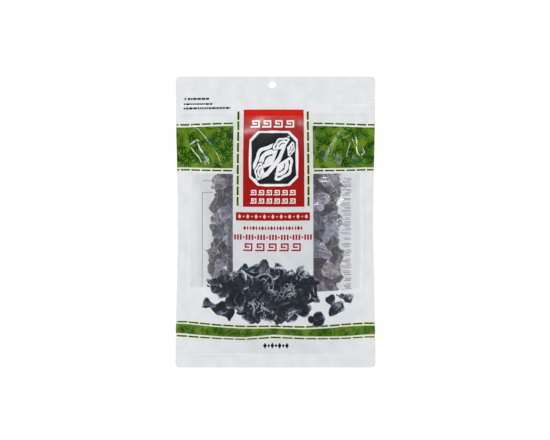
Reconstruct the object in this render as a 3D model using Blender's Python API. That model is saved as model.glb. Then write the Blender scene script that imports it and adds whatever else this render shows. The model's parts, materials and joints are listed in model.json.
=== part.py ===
"""A flat, resealable pouch of dried wood ear mushrooms, lying on its back.

Metres, +Z up. +X runs to the right across the front, +Y to the pouch's top. The origin is on the
surface that the pouch lies on, under the middle of its outline.
"""

import math
import random

import bmesh
import bpy
import numpy as np
from mathutils import Matrix, Vector
from mathutils.bvhtree import BVHTree

# The pouch, as it lies flat
WIDTH = 0.220
HEIGHT = 0.320
WAIST = 0.0024  # how far the filled pouch draws each side edge in at mid-height
CORNER = 0.0044  # radius of the outline's corners
SIDE_SEAL = 0.0115
BOTTOM_SEAL = 0.0150
FILM = 0.0004
GAP = 0.0003  # kept between pieces that touch

# The filled form
SEAL_Z = 0.0140  # height of the plane that the seals lie in
CROWN = 0.0295  # the front film's rise above that plane
BELLY = 0.0200  # the back film's fall below it, before the floor flattens it
FRONT_CELLS = (18, 22)  # faces across and along the pocket
BACK_CELLS = (12, 14)

# The zip, the hang hole and the tear notches, with heights from the top edge
ZIP_TOP = 0.0335
ZIP_BOTTOM = 0.0410
ZIP_RELIEF = 0.0013  # each film's rise over the zip
ZIP_RAMP = 0.0020
ZIP_CRUSH = 0.0060  # how far into each side seal that rise runs out
ZIP_TAPE = 0.0004
ZIP_RIB = 0.0006  # half width of the rib's head
ZIP_JAW = 0.0006  # thickness of each jaw beside the rib
ZIP_NECK = 0.2  # share of the rib's height over the seal plane at which its head begins
HOLE_RADIUS = 0.0040
HOLE_DROP = 0.0093
HOLE_OFFSET = -0.0036
HOLE_SIDES = 20
NOTCH_DROP = 0.0236
NOTCH_DEPTH = 0.0020
NOTCH_HALF = 0.0011
CUTTER_LOW = -0.020  # the cutters reach from below the back film to above the front one
CUTTER_HIGH = 0.060

# The ears that lie against the two windows
EAR_RADIUS = (0.0112, 0.0162)
EAR_THICKNESS = 0.0014
EAR_SPOKES = 12
EAR_RINGS = (0.38, 0.72)
EAR_THINNING = 0.45  # share of its thickness that an ear loses from its root to its rim
EAR_STRETCH = (0.80, 1.0)  # an ear's width beside its length
EAR_NOTCHES = (0.13, 0.09, 0.05)  # how far two, three and five lobes push its outline in and out
EAR_CUP = (0.0014, 0.0046)  # the rise of its rim over its root
EAR_WAVES = (3, 4, 5)
EAR_WAVE_RISE = (0.0012, 0.0026)
EAR_FOLD = (0.0020, 0.0060)  # how far one side of it curls up
EAR_FOLD_START = 0.25  # where that curl starts, in radii from the root
EAR_FOLD_SHRINK = 0.22
EAR_CLEARANCE = 0.0006
EAR_COLUMNS = (0.0605, 0.0460)  # distance of each column from the middle
EAR_TOP = 0.0560
EAR_BOTTOM = -0.0770
EAR_PITCH = 0.0134
EAR_STRAY = 0.0020  # how far each place strays from its column's even rows
EAR_TIP = 0.24  # how far an ear may tip off the film's own slope, in radians
EAR_TRIES = 7  # shapes and turns tried at each place, of which the one that nests highest is kept
EAR_SEED = 27
EAR_LIFT = 0.0080  # room left below each of them
LEAN_REACH = 0.0040  # the film's slope at an ear is measured over this much to each side

# The height map that the ears are stacked on
CELL = 0.0010
MAP_MARGIN = 0.0060  # between its edges and the pocket's
SETTLED = 0.00002
SETTLE_ROUNDS = 60
PROBE_HEIGHT = 1.0  # rays start this far over or under everything

# The heap of the other ears
HEAP_HALF_WIDTH = 0.0640
HEAP_TOP = 0.0860
HEAP_BOTTOM = -0.1090
HEAP_SPOKES = 26
HEAP_RINGS = (0.24, 0.46, 0.66, 0.84, 1.0)
HEAP_SQUARENESS = 4.0
HEAP_LUMPS = (5, 8)  # lumps round its edge, in two sets
HEAP_LUMP = 0.0045
HEAP_DIP = 0.0016
HEAP_CLEARANCE = 0.0009
HEAP_SEED = 5

POCKET_HALF = WIDTH / 2 - SIDE_SEAL
POCKET_LOW = -HEIGHT / 2 + BOTTOM_SEAL
POCKET_HIGH = HEIGHT / 2 - ZIP_BOTTOM
POCKET_MIDDLE = (POCKET_LOW + POCKET_HIGH) / 2
POCKET_REACH = (POCKET_HIGH - POCKET_LOW) / 2


def clear_scene():
    for obj in list(bpy.data.objects):
        bpy.data.objects.remove(obj, do_unlink=True)


def principled(name, colour, roughness):
    material = bpy.data.materials.new(name)
    material.use_nodes = True
    shader = material.node_tree.nodes["Principled BSDF"]
    shader.inputs["Base Color"].default_value = (*colour, 1.0)
    shader.inputs["Roughness"].default_value = roughness
    return material


def solid(name, verts, faces, material):
    """A named object from points and faces, with its faces turned outwards."""
    mesh = bpy.data.meshes.new(name)
    mesh.from_pydata(verts, [], faces)
    bm = bmesh.new()
    bm.from_mesh(mesh)
    bmesh.ops.recalc_face_normals(bm, faces=bm.faces)
    bm.to_mesh(mesh)
    bm.free()
    obj = bpy.data.objects.new(name, mesh)
    obj.data.materials.append(material)
    bpy.context.scene.collection.objects.link(obj)
    return obj


def tree_of(obj):
    bm = bmesh.new()
    bm.from_mesh(obj.data)
    tree = BVHTree.FromBMesh(bm)
    bm.free()
    return tree


# ---------------------------------------------------------------- the films


def fullness(x, y):
    """How full the pocket is at a point: 1 at its middle, 0 at its seals and beyond."""
    across = min(1.0, abs(x) / POCKET_HALF)
    along = min(1.0, abs(y - POCKET_MIDDLE) / POCKET_REACH)
    return (1 - across**2.4) ** 1.25 * (1 - along**2.6) ** 1.15


def zip_relief(x, y):
    """The low ridge that the zip makes in a film, crushed flat in the side seals."""
    low = HEIGHT / 2 - ZIP_BOTTOM
    high = HEIGHT / 2 - ZIP_TOP
    outside = max(low - y, y - high, (abs(x) - POCKET_HALF) * ZIP_RAMP / ZIP_CRUSH, 0.0)
    return ZIP_RELIEF * max(0.0, 1 - outside / ZIP_RAMP)


def front_underside(x, y):
    return SEAL_Z + GAP / 2 + max(CROWN * fullness(x, y), zip_relief(x, y))


def back_underside(x, y):
    depth = max(BELLY * fullness(x, y), zip_relief(x, y))
    return max(0.0, SEAL_Z - GAP / 2 - FILM - depth)


def half_width(y):
    """The outline's half width, drawn in at mid-height by the filling."""
    along = min(1.0, abs(y) / (HEIGHT / 2))
    return WIDTH / 2 - WAIST * math.cos(along * math.pi / 2) ** 2


def stations(low, high, count):
    return [low + (high - low) * i / count for i in range(count + 1)]


def film(name, underside, cells, material):
    """A thin closed shell over the whole outline, welded flat round the pocket.

    Both skins are split into the same triangles, along the bulge's contours, so that they never cross.
    """
    across, along = cells
    side = WIDTH / 2
    columns = [-side, -side + CORNER, *stations(-POCKET_HALF, POCKET_HALF, across), side - CORNER, side]
    top = HEIGHT / 2
    rows = [-top, -top + CORNER, *stations(POCKET_LOW, POCKET_HIGH - ZIP_RAMP, along)]
    rows += [POCKET_HIGH, top - ZIP_TOP, top - ZIP_TOP + ZIP_RAMP]
    rows += [top - ZIP_TOP / 2, top - CORNER, top]
    last_column = len(columns) - 1
    last_row = len(rows) - 1
    points = []
    for j, y in enumerate(rows):
        for i, x in enumerate(columns):
            at = x * half_width(y) / side
            up = y
            if i in (0, last_column) and j in (0, last_row):
                cut = CORNER * (1 - math.sqrt(0.5))
                at -= math.copysign(cut, at)
                up -= math.copysign(cut, up)
            points.append((at, up))
    lower = [(x, y, underside(x, y)) for x, y in points]
    upper = [(x, y, z + FILM) for x, y, z in lower]
    wide = len(columns)
    count = len(points)
    faces = []
    for j in range(last_row):
        for i in range(last_column):
            a = j * wide + i
            b = a + 1
            c = b + wide
            d = a + wide
            falling = (i < last_column / 2) == (j < last_row / 2)
            for triangle in ((a, b, d), (b, c, d)) if falling else ((a, b, c), (a, c, d)):
                faces.append(triangle)
                faces.append(tuple(count + k for k in reversed(triangle)))
    rim = list(range(wide))
    rim += [j * wide + last_column for j in range(1, last_row + 1)]
    rim += [last_row * wide + i for i in range(last_column - 1, -1, -1)]
    rim += [j * wide for j in range(last_row - 1, 0, -1)]
    for a, b in zip(rim, rim[1:] + rim[:1]):
        faces.append((a, b, count + b, count + a))
    return solid(name, lower + upper, faces, material)


def cutter(name, outline):
    """An upright prism that goes right through both films."""
    count = len(outline)
    verts = [(x, y, CUTTER_LOW) for x, y in outline] + [(x, y, CUTTER_HIGH) for x, y in outline]
    faces = [tuple(range(count)), tuple(range(count, 2 * count))]
    for a in range(count):
        b = (a + 1) % count
        faces.append((a, b, count + b, count + a))
    obj = solid(name, verts, faces, principled(name, (0.5, 0.5, 0.5), 0.5))
    obj.hide_render = True
    obj.display_type = "WIRE"
    return obj


def film_cutters():
    """The round hang hole and the V-shaped tear notch in each side edge."""
    hole_y = HEIGHT / 2 - HOLE_DROP
    ring = []
    for k in range(HOLE_SIDES):
        turn = 2 * math.pi * k / HOLE_SIDES
        ring.append((HOLE_OFFSET + HOLE_RADIUS * math.cos(turn), hole_y + HOLE_RADIUS * math.sin(turn)))
    made = [cutter("hang_hole_cutter", ring)]
    notch_y = HEIGHT / 2 - NOTCH_DROP
    edge = half_width(notch_y)
    for side, word in ((-1, "left"), (1, "right")):
        slope = NOTCH_HALF / NOTCH_DEPTH
        out = edge + NOTCH_DEPTH
        outline = [
            (side * (edge - NOTCH_DEPTH), notch_y),
            (side * out, notch_y - slope * 2 * NOTCH_DEPTH),
            (side * out, notch_y + slope * 2 * NOTCH_DEPTH),
        ]
        made.append(cutter("notch_cutter_" + word, outline))
    return made


def cut(obj, cutters):
    for tool in cutters:
        change = obj.modifiers.new(tool.name, "BOOLEAN")
        change.operation = "DIFFERENCE"
        change.solver = "EXACT"
        change.object = tool


# ---------------------------------------------------------------- the zip


def extrusion(name, outline, half_length, material):
    """A profile in Y and Z, drawn out along X."""
    count = len(outline)
    verts = [(-half_length, y, z) for y, z in outline] + [(half_length, y, z) for y, z in outline]
    faces = [tuple(range(count)), tuple(range(count, 2 * count))]
    for a in range(count):
        b = (a + 1) % count
        faces.append((a, b, count + b, count + a))
    solid(name, verts, faces, material)


def zip_strips(material):
    """The rib strip on the front film, and the strip on the back film whose two jaws hold the rib."""
    middle = HEIGHT / 2 - (ZIP_TOP + ZIP_BOTTOM) / 2
    half_tape = (ZIP_BOTTOM - ZIP_TOP) / 2 - GAP
    outer = ZIP_RELIEF - GAP / 2
    inner = outer - ZIP_TAPE
    tip = inner - GAP
    stem = ZIP_RIB / 2
    rib = [
        (-half_tape, SEAL_Z + outer),
        (-half_tape, SEAL_Z + inner),
        (-stem, SEAL_Z + inner),
        (-stem, SEAL_Z + inner * ZIP_NECK),
        (-ZIP_RIB, SEAL_Z),
        (0.0, SEAL_Z - tip),
        (ZIP_RIB, SEAL_Z),
        (stem, SEAL_Z + inner * ZIP_NECK),
        (stem, SEAL_Z + inner),
        (half_tape, SEAL_Z + inner),
        (half_tape, SEAL_Z + outer),
    ]
    near = ZIP_RIB + GAP
    far = near + ZIP_JAW
    top = SEAL_Z + inner - GAP
    base = SEAL_Z - inner
    jaws = [
        (-half_tape, SEAL_Z - outer),
        (half_tape, SEAL_Z - outer),
        (half_tape, base),
        (far, base),
        (far, top),
        (near, top),
        (near, base),
        (-near, base),
        (-near, top),
        (-far, top),
        (-far, base),
        (-half_tape, base),
    ]
    length = POCKET_HALF - GAP
    front = [(middle + y, z) for y, z in rib]
    back = [(middle + y, z) for y, z in jaws]
    extrusion("zip_rib_strip", front, length, material)
    extrusion("zip_jaw_strip", back, length, material)


# ---------------------------------------------------------------- the ears


def ear_shape(rng, radius):
    """One dried ear: a thin, cupped, wavy lobe, thickest where it grew from the wood."""
    wave = rng.uniform(*EAR_WAVE_RISE)
    waves = rng.choice(EAR_WAVES)
    cup = rng.uniform(*EAR_CUP)
    fold = rng.uniform(*EAR_FOLD)
    fold_turn = rng.uniform(0, 2 * math.pi)
    phases = [rng.uniform(0, 2 * math.pi) for _ in range(4)]
    stretch = rng.uniform(*EAR_STRETCH)
    two, three, five = EAR_NOTCHES

    def surface(share, turn):
        reach = 1 + two * math.sin(2 * turn + phases[0]) + three * math.sin(3 * turn + phases[1])
        reach += five * math.sin(5 * turn + phases[2])
        x = radius * share * reach * math.cos(turn)
        y = radius * share * reach * math.sin(turn) * stretch
        toward = (x * math.cos(fold_turn) + y * math.sin(fold_turn)) / radius
        curl = max(0.0, toward - EAR_FOLD_START)
        z = cup * share**2 + wave * share**3 * math.sin(waves * turn + phases[3]) + fold * curl**2
        shrink = 1 - EAR_FOLD_SHRINK * curl**2
        return Vector((x * shrink, y * shrink, z))

    verts = []
    for side in (1, -1):
        verts.append(Vector((0, 0, side * EAR_THICKNESS / 2)))
        for share in EAR_RINGS:
            half = EAR_THICKNESS / 2 * (1 - EAR_THINNING * share)
            for k in range(EAR_SPOKES):
                point = surface(share, 2 * math.pi * k / EAR_SPOKES)
                verts.append(point + Vector((0, 0, side * half)))
    rim = len(verts)
    for k in range(EAR_SPOKES):
        verts.append(surface(1.0, 2 * math.pi * k / EAR_SPOKES))
    faces = []
    layer = 1 + EAR_SPOKES * len(EAR_RINGS)
    for side in (0, 1):
        base = side * layer
        rings = [base + 1 + EAR_SPOKES * n for n in range(len(EAR_RINGS))] + [rim]
        for k in range(EAR_SPOKES):
            after = (k + 1) % EAR_SPOKES
            faces.append((base, rings[0] + k, rings[0] + after))
            for inner, outer in zip(rings, rings[1:]):
                faces.append((inner + k, outer + k, outer + after))
                faces.append((inner + k, outer + after, inner + after))
    return verts, faces


class HeightMap:
    """The room under the front film, on a square grid: how high a thing may reach at each cell."""

    def __init__(self, front, back):
        self.half = POCKET_HALF - MAP_MARGIN
        self.low = POCKET_LOW + MAP_MARGIN
        self.wide = int(2 * self.half / CELL) + 1
        self.tall = int((POCKET_HIGH - MAP_MARGIN - self.low) / CELL) + 1
        self.ceiling = np.zeros((self.tall, self.wide))
        self.floor = np.zeros((self.tall, self.wide))
        for j in range(self.tall):
            for i in range(self.wide):
                start = Vector((*self.place(i, j), SEAL_Z))
                self.ceiling[j, i] = front.ray_cast(start, Vector((0, 0, 1)))[0].z - GAP
                self.floor[j, i] = back.ray_cast(start, Vector((0, 0, -1)))[0].z + GAP

    def place(self, i, j):
        return (-self.half + i * CELL, self.low + j * CELL)

    def cell(self, x, y):
        i = min(self.wide - 1, max(0, round((x + self.half) / CELL)))
        j = min(self.tall - 1, max(0, round((y - self.low) / CELL)))
        return i, j

    def room_for(self, verts, faces):
        """How far a shape can be lifted below the ceiling, and its underside at each cell."""
        tree = BVHTree.FromPolygons(verts, faces)
        xs = [v.x for v in verts]
        ys = [v.y for v in verts]
        left, low = self.cell(min(xs), min(ys))
        right, high = self.cell(max(xs), max(ys))
        room = []
        for v in verts:
            i, j = self.cell(v.x, v.y)
            room.append(self.ceiling[j, i] - v.z)
        under = {}
        for j in range(low, high + 1):
            for i in range(left, right + 1):
                x, y = self.place(i, j)
                top = tree.ray_cast(Vector((x, y, PROBE_HEIGHT)), Vector((0, 0, -1)))[0]
                if top is None:
                    continue
                under[i, j] = tree.ray_cast(Vector((x, y, -PROBE_HEIGHT)), Vector((0, 0, 1)))[0].z
                room.append(self.ceiling[j, i] - top.z)
        return min(room) - EAR_CLEARANCE, under

    def fill(self, under, lift):
        """Brings the ceiling down to the underside of a lifted shape."""
        for (i, j), z in under.items():
            for dj in (-1, 0, 1):
                for di in (-1, 0, 1):
                    n = j + dj
                    m = i + di
                    if 0 <= n < self.tall and 0 <= m < self.wide:
                        self.ceiling[n, m] = min(self.ceiling[n, m], z + lift - EAR_CLEARANCE / 2)

    def settle(self, points, faces, limit, side):
        """Moves a coarse skin's corners until its flat faces lie below a height map, or above it."""
        for _ in range(SETTLE_ROUNDS):
            shift = [0.0] * len(points)
            for face in faces:
                a, b, c = (points[k] for k in face)
                area = (b.x - a.x) * (c.y - a.y) - (b.y - a.y) * (c.x - a.x)
                left, low = self.cell(min(a.x, b.x, c.x), min(a.y, b.y, c.y))
                right, high = self.cell(max(a.x, b.x, c.x), max(a.y, b.y, c.y))
                for j in range(low, high + 1):
                    for i in range(left, right + 1):
                        x, y = self.place(i, j)
                        at_b = ((x - a.x) * (c.y - a.y) - (y - a.y) * (c.x - a.x)) / area
                        at_c = ((b.x - a.x) * (y - a.y) - (b.y - a.y) * (x - a.x)) / area
                        shares = (1 - at_b - at_c, at_b, at_c)
                        if min(shares) < 0:
                            continue
                        z = sum(share * points[k].z for share, k in zip(shares, face))
                        over = side * (z - limit[j, i])
                        if over <= SETTLED:
                            continue
                        spread = sum(share**2 for share in shares)
                        for share, k in zip(shares, face):
                            shift[k] = max(shift[k], over * share / spread)
            if not any(shift):
                return
            for point, move in zip(points, shift):
                point.z -= side * move


def film_lean(x, y):
    """The turn that lays a flat thing against the front film at a point."""
    step = LEAN_REACH
    slope_x = (front_underside(x + step, y) - front_underside(x - step, y)) / (2 * step)
    slope_y = (front_underside(x, y + step) - front_underside(x, y - step)) / (2 * step)
    return Vector((0, 0, 1)).rotation_difference(Vector((-slope_x, -slope_y, 1))).to_matrix()


def window_ears(room, material):
    """Two columns of ears behind each window, each pushed up against the film or the ears over it."""
    rng = random.Random(EAR_SEED)
    places = []
    for side, word in ((-1, "left"), (1, "right")):
        for column, distance in enumerate(EAR_COLUMNS):
            count = int((EAR_TOP - EAR_BOTTOM) / EAR_PITCH) + 1
            for n in range(count):
                y = EAR_TOP - (n + 0.5 * column) * EAR_PITCH + rng.uniform(-EAR_STRAY, EAR_STRAY)
                x = side * distance + rng.uniform(-EAR_STRAY, EAR_STRAY)
                places.append((x, y, word))
    rng.shuffle(places)
    numbers = {"left": 0, "right": 0}
    for x, y, word in places:
        lean = film_lean(x, y)
        best = None
        for _ in range(EAR_TRIES):
            verts, faces = ear_shape(rng, rng.uniform(*EAR_RADIUS))
            tip_x = Matrix.Rotation(rng.uniform(-EAR_TIP, EAR_TIP), 3, "X")
            tip_y = Matrix.Rotation(rng.uniform(-EAR_TIP, EAR_TIP), 3, "Y")
            over = Matrix.Rotation(rng.choice((0.0, math.pi)), 3, "X")
            turn = lean @ tip_x @ tip_y @ over
            placed = [turn @ v + Vector((x, y, SEAL_Z)) for v in verts]
            lift, under = room.room_for(placed, faces)
            lowest = min(z + lift - room.floor[j, i] for (i, j), z in under.items())
            if best is None or lowest > best[0]:
                best = (lowest, lift, under, placed, faces)
        lowest, lift, under, placed, faces = best
        if lowest < EAR_LIFT:
            continue
        room.fill(under, lift)
        numbers[word] += 1
        name = f"window_ear_{word}_{numbers[word]:02d}"
        solid(name, [v + Vector((0, 0, lift)) for v in placed], faces, material)


# ---------------------------------------------------------------- the heap


def packed_ears(room, material):
    """The rest of the ears, packed between the films: one lumpy body under the window ears."""
    rng = random.Random(HEAP_SEED)
    middle = (HEAP_TOP + HEAP_BOTTOM) / 2
    reach = (HEAP_TOP - HEAP_BOTTOM) / 2
    waves = [(lumps, rng.uniform(0, 2 * math.pi)) for lumps in HEAP_LUMPS]

    def place(share, turn):
        power = HEAP_SQUARENESS
        edge = share * (abs(math.cos(turn)) ** power + abs(math.sin(turn)) ** power) ** (-1 / power)
        ragged = HEAP_LUMP * share**2 * sum(math.sin(lumps * turn + phase) for lumps, phase in waves) / 2
        x = (edge * HEAP_HALF_WIDTH + ragged) * math.cos(turn)
        y = middle + (edge * reach + ragged) * math.sin(turn)
        return x, y

    places = [(0.0, middle)]
    for share in HEAP_RINGS:
        for k in range(HEAP_SPOKES):
            places.append(place(share, 2 * math.pi * k / HEAP_SPOKES))
    skin = []
    for k in range(HEAP_SPOKES):
        after = (k + 1) % HEAP_SPOKES
        skin.append((0, 1 + k, 1 + after))
        for n in range(len(HEAP_RINGS) - 1):
            inner = 1 + n * HEAP_SPOKES
            outer = inner + HEAP_SPOKES
            skin.append((inner + k, outer + k, outer + after))
            skin.append((inner + k, outer + after, inner + after))
    upper = []
    lower = []
    for x, y in places:
        i, j = room.cell(x, y)
        lump = HEAP_DIP * rng.random()
        upper.append(Vector((x, y, room.ceiling[j, i] - HEAP_CLEARANCE - lump)))
        lower.append(Vector((x, y, room.floor[j, i] + HEAP_CLEARANCE)))
    room.settle(upper, skin, room.ceiling - HEAP_CLEARANCE, 1)
    room.settle(lower, skin, room.floor + HEAP_CLEARANCE, -1)
    count = len(places)
    faces = skin + [(count + a, count + c, count + b) for a, b, c in skin]
    rim = 1 + (len(HEAP_RINGS) - 1) * HEAP_SPOKES
    for k in range(HEAP_SPOKES):
        after = (k + 1) % HEAP_SPOKES
        faces.append((rim + k, count + rim + k, count + rim + after, rim + after))
    solid("packed_ears", upper + lower, faces, material)


# ---------------------------------------------------------------- the pouch


def build():
    clear_scene()
    front_material = principled("printed clear film", (0.80, 0.81, 0.83), 0.30)
    back_material = principled("white film", (0.78, 0.79, 0.81), 0.34)
    zip_material = principled("clear zip", (0.84, 0.85, 0.86), 0.25)
    ear_material = principled("dried ear", (0.022, 0.020, 0.020), 0.55)
    heap_material = principled("packed dried ears", (0.018, 0.017, 0.018), 0.65)

    front = film("front_film", front_underside, FRONT_CELLS, front_material)
    back = film("back_film", back_underside, BACK_CELLS, back_material)
    room = HeightMap(tree_of(front), tree_of(back))
    cutters = film_cutters()
    cut(front, cutters)
    cut(back, cutters)
    zip_strips(zip_material)
    window_ears(room, ear_material)
    packed_ears(room, heap_material)


build()
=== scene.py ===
import json
import math
import random

import bmesh
import bpy
import numpy as np
from mathutils import Matrix, Vector, noise
from mathutils.bvhtree import BVHTree
from mathutils.geometry import delaunay_2d_cdt

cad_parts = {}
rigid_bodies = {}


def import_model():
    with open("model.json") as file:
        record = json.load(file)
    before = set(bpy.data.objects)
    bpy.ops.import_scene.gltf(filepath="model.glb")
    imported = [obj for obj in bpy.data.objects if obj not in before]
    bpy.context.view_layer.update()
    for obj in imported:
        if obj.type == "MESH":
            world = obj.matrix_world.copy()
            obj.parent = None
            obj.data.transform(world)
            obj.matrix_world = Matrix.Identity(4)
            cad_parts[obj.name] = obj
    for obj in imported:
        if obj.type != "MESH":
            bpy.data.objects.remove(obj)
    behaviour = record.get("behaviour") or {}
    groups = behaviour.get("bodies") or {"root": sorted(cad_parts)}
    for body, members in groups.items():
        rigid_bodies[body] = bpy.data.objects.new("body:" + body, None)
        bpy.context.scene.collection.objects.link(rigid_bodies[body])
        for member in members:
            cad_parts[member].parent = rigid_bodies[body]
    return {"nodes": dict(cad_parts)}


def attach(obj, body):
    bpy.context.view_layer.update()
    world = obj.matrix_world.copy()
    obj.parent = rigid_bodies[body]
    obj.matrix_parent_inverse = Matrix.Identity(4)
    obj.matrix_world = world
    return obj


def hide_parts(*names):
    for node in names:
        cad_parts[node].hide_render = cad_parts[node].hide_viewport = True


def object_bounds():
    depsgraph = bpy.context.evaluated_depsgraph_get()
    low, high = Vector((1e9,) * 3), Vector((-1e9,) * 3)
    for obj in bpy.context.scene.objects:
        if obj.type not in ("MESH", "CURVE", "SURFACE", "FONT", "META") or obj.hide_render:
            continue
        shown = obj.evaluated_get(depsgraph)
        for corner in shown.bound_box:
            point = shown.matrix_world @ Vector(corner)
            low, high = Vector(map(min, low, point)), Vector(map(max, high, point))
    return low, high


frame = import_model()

cad_low, cad_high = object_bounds()

# ---------------------------------------------------------------- the camera
# The photograph looks straight down on the pouch's front, from about a metre. The middle of its picture
# lies half a millimetre to the left of the pouch's own middle, and two millimetres nearer to its top.
EYE_HEIGHT = 0.95  # from the lens to the plane that the seals lie in
SEAL_Z = 0.0140
VIEW_WIDTH = 0.605  # how much of that plane the picture is wide
VIEW_CENTRE = (-0.00055, 0.0022)
SENSOR_WIDTH = 36.0

eye = bpy.data.cameras.new("eye")
eye.sensor_width = SENSOR_WIDTH
eye.lens = SENSOR_WIDTH * EYE_HEIGHT / VIEW_WIDTH
camera = bpy.data.objects.new("eye", eye)
camera.location = (*VIEW_CENTRE, SEAL_Z + EYE_HEIGHT)
bpy.context.scene.collection.objects.link(camera)
bpy.context.scene.camera = camera

# ---------------------------------------------------------------- the floor and the light
# A plain white sweep that glows a little, so that it stays as clean as the photograph's ground. Four soft
# boxes light the pouch evenly and leave no glare, and four narrow lamps flash only in its glossy folds.
FLOOR_REACH = 3.0
FLOOR_GREY = 0.30
FLOOR_ROUGHNESS = 0.9
FLOOR_SHINE = 0.1
FLOOR_GLOW = 0.76
SKY_GLOW = 0.09
LAMP_REACH = 1.30
LAMPS = {  # bearing from the pouch and rise over the floor in degrees, size, power, and what it is for
    "left": (180, 32, (1.20, 0.40), 13.0, "light"),
    "right": (0, 32, (1.20, 0.40), 12.0, "light"),
    "head": (90, 32, (1.00, 0.40), 7.4, "light"),
    "foot": (-90, 32, (1.00, 0.40), 4.8, "light"),
    "left_flash": (122, 29, (1.20, 0.30), 17.3, "flash"),
    "right_flash": (54, 29, (1.20, 0.30), 17.3, "flash"),
    "left_low_flash": (176, 11, (1.00, 0.20), 9.3, "flash"),
    "right_low_flash": (4, 11, (1.00, 0.20), 9.3, "flash"),
}


def shader_of(name):
    """A new material, with its node tree and its one Principled shader."""
    material = bpy.data.materials.new(name)
    material.use_nodes = True
    tree = material.node_tree
    return material, tree, tree.nodes["Principled BSDF"]


def feed(tree, node, fed):
    """Feeds a node's inputs, each with a value or with another node's output."""
    for word, value in fed.items():
        if isinstance(value, bpy.types.NodeSocket):
            tree.links.new(value, node.inputs[word])
        else:
            node.inputs[word].default_value = value


def mesh_object(name, mesh):
    obj = bpy.data.objects.new(name, mesh)
    bpy.context.scene.collection.objects.link(obj)
    return obj


def lamp_place(word):
    """Where a lamp stands, on a sphere about the pouch's middle."""
    turn, lift = (math.radians(angle) for angle in LAMPS[word][:2])
    ahead = Vector((math.cos(lift) * math.cos(turn), math.cos(lift) * math.sin(turn), math.sin(lift)))
    return LAMP_REACH * ahead


floor_finish, tree, shader = shader_of("white sweep")
feed(tree, shader, {
    "Base Color": (FLOOR_GREY, FLOOR_GREY, FLOOR_GREY, 1),
    "Roughness": FLOOR_ROUGHNESS,
    "Specular IOR Level": FLOOR_SHINE,
    "Emission Color": (1, 1, 1, 1),
    "Emission Strength": FLOOR_GLOW,
})
corners = ((-1, -1), (1, -1), (1, 1), (-1, 1))
floor_corners = [(x * FLOOR_REACH, y * FLOOR_REACH, cad_low.z) for x, y in corners]
floor_mesh = bpy.data.meshes.new("floor")
floor_mesh.from_pydata(floor_corners, [], [(0, 1, 2, 3)])
floor_mesh.materials.append(floor_finish)
mesh_object("floor", floor_mesh)

sky = bpy.data.worlds.new("sky")
sky.use_nodes = True
feed(sky.node_tree, sky.node_tree.nodes["Background"], {"Color": (1, 1, 1, 1), "Strength": SKY_GLOW})
bpy.context.scene.world = sky
bpy.context.scene.view_settings.view_transform = "Standard"

for word, (_, _, size, power, task) in LAMPS.items():
    lamp = bpy.data.lights.new(word, "AREA")
    lamp.shape = "RECTANGLE"
    lamp.size, lamp.size_y = size
    lamp.energy = power
    soft_box = bpy.data.objects.new(word, lamp)
    soft_box.location = lamp_place(word)
    soft_box.rotation_euler = lamp_place(word).to_track_quat("Z", "Y").to_euler()
    soft_box.visible_glossy = task == "flash"
    soft_box.visible_diffuse = task == "light"
    bpy.context.scene.collection.objects.link(soft_box)

# ---------------------------------------------------------------- the back film
# White laminate, printed in grey on its outside with a plain table and some rules. It lies on the floor
# over its belly, and is welded to the front film all round the filling.
HALF_WIDTH = cad_high.x
HALF_HEIGHT = cad_high.y
WAIST = 0.0024  # how far the filling draws in each side
CORNER = 0.0044
CORNER_STEPS = 6
EDGE_STEP = 0.0022
LAMINATE = 0.0002
HOLE_PLACE = (-0.0036, HALF_HEIGHT - 0.0093)
HOLE_RADIUS = 0.0040
HOLE_SIDES = 36
NOTCH_Y = HALF_HEIGHT - 0.0236
NOTCH_DEPTH = 0.0020
NOTCH_HALF = 0.0011
POCKET_HALF = HALF_WIDTH - 0.0115
POCKET_LOW = -HALF_HEIGHT + 0.0150
POCKET_HIGH = HALF_HEIGHT - 0.0410
SQUARE_ACROSS, SQUARE_ALONG = 2.4, 2.6  # the filling's plan: 2 would be an ellipse, more is squarer
STEEP_ACROSS, STEEP_ALONG = 1.25, 1.15  # how softly the filling meets the seals
BELLY = 0.0200
ZIP_HIGH = HALF_HEIGHT - 0.0335
ZIP_RELIEF = 0.0011
ZIP_RAMP = 0.0035
ZIP_END_EASE = 3  # the relief of the zip dies away so much slower at its ends
HILLS = 64
HILLS_START = (17.3, 29.7)
RIPPLE, RIPPLE_SIZE, RIPPLE_EASE, RIPPLE_SEED = 0.0004, 0.024, 6, 3
PLEAT, PLEAT_SIZE, PLEAT_EASE, PLEAT_SEED = 0.00060, 0.0065, 12, 4
PLEAT_STRETCH = 0.12
SIDE_CREASE, SIDE_CREASE_HALF, SIDE_CREASE_EASE = 0.0012, 0.0022, 60
SIDE_CREASE_AT = 0.0935
PRINT_STEP = 0.0040
SAME_POINT = 1e-7
SHORTEST = 1e-6
INNER_HOLE_ROOM, BACK_HOLE_ROOM = 0.0005, 0.0008
NORMAL_STEP = 0.00006


def waves(x, y, size, seed):
    """Smooth random hills and hollows from -1 to 1, each about as wide as size."""
    heights = np.random.default_rng(seed).uniform(-1, 1, (HILLS, HILLS))
    across = np.asarray(x) / size + HILLS_START[0]
    along = np.asarray(y) / size + HILLS_START[1]
    i = np.floor(across).astype(int)
    j = np.floor(along).astype(int)
    s = across - i
    t = along - j
    s = s * s * s * (s * (s * 6 - 15) + 10)
    t = t * t * t * (t * (t * 6 - 15) + 10)
    i, j, right, above = i % HILLS, j % HILLS, (i + 1) % HILLS, (j + 1) % HILLS
    low = heights[j, i] * (1 - s) + heights[j, right] * s
    high = heights[above, i] * (1 - s) + heights[above, right] * s
    return low * (1 - t) + high * t


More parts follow.
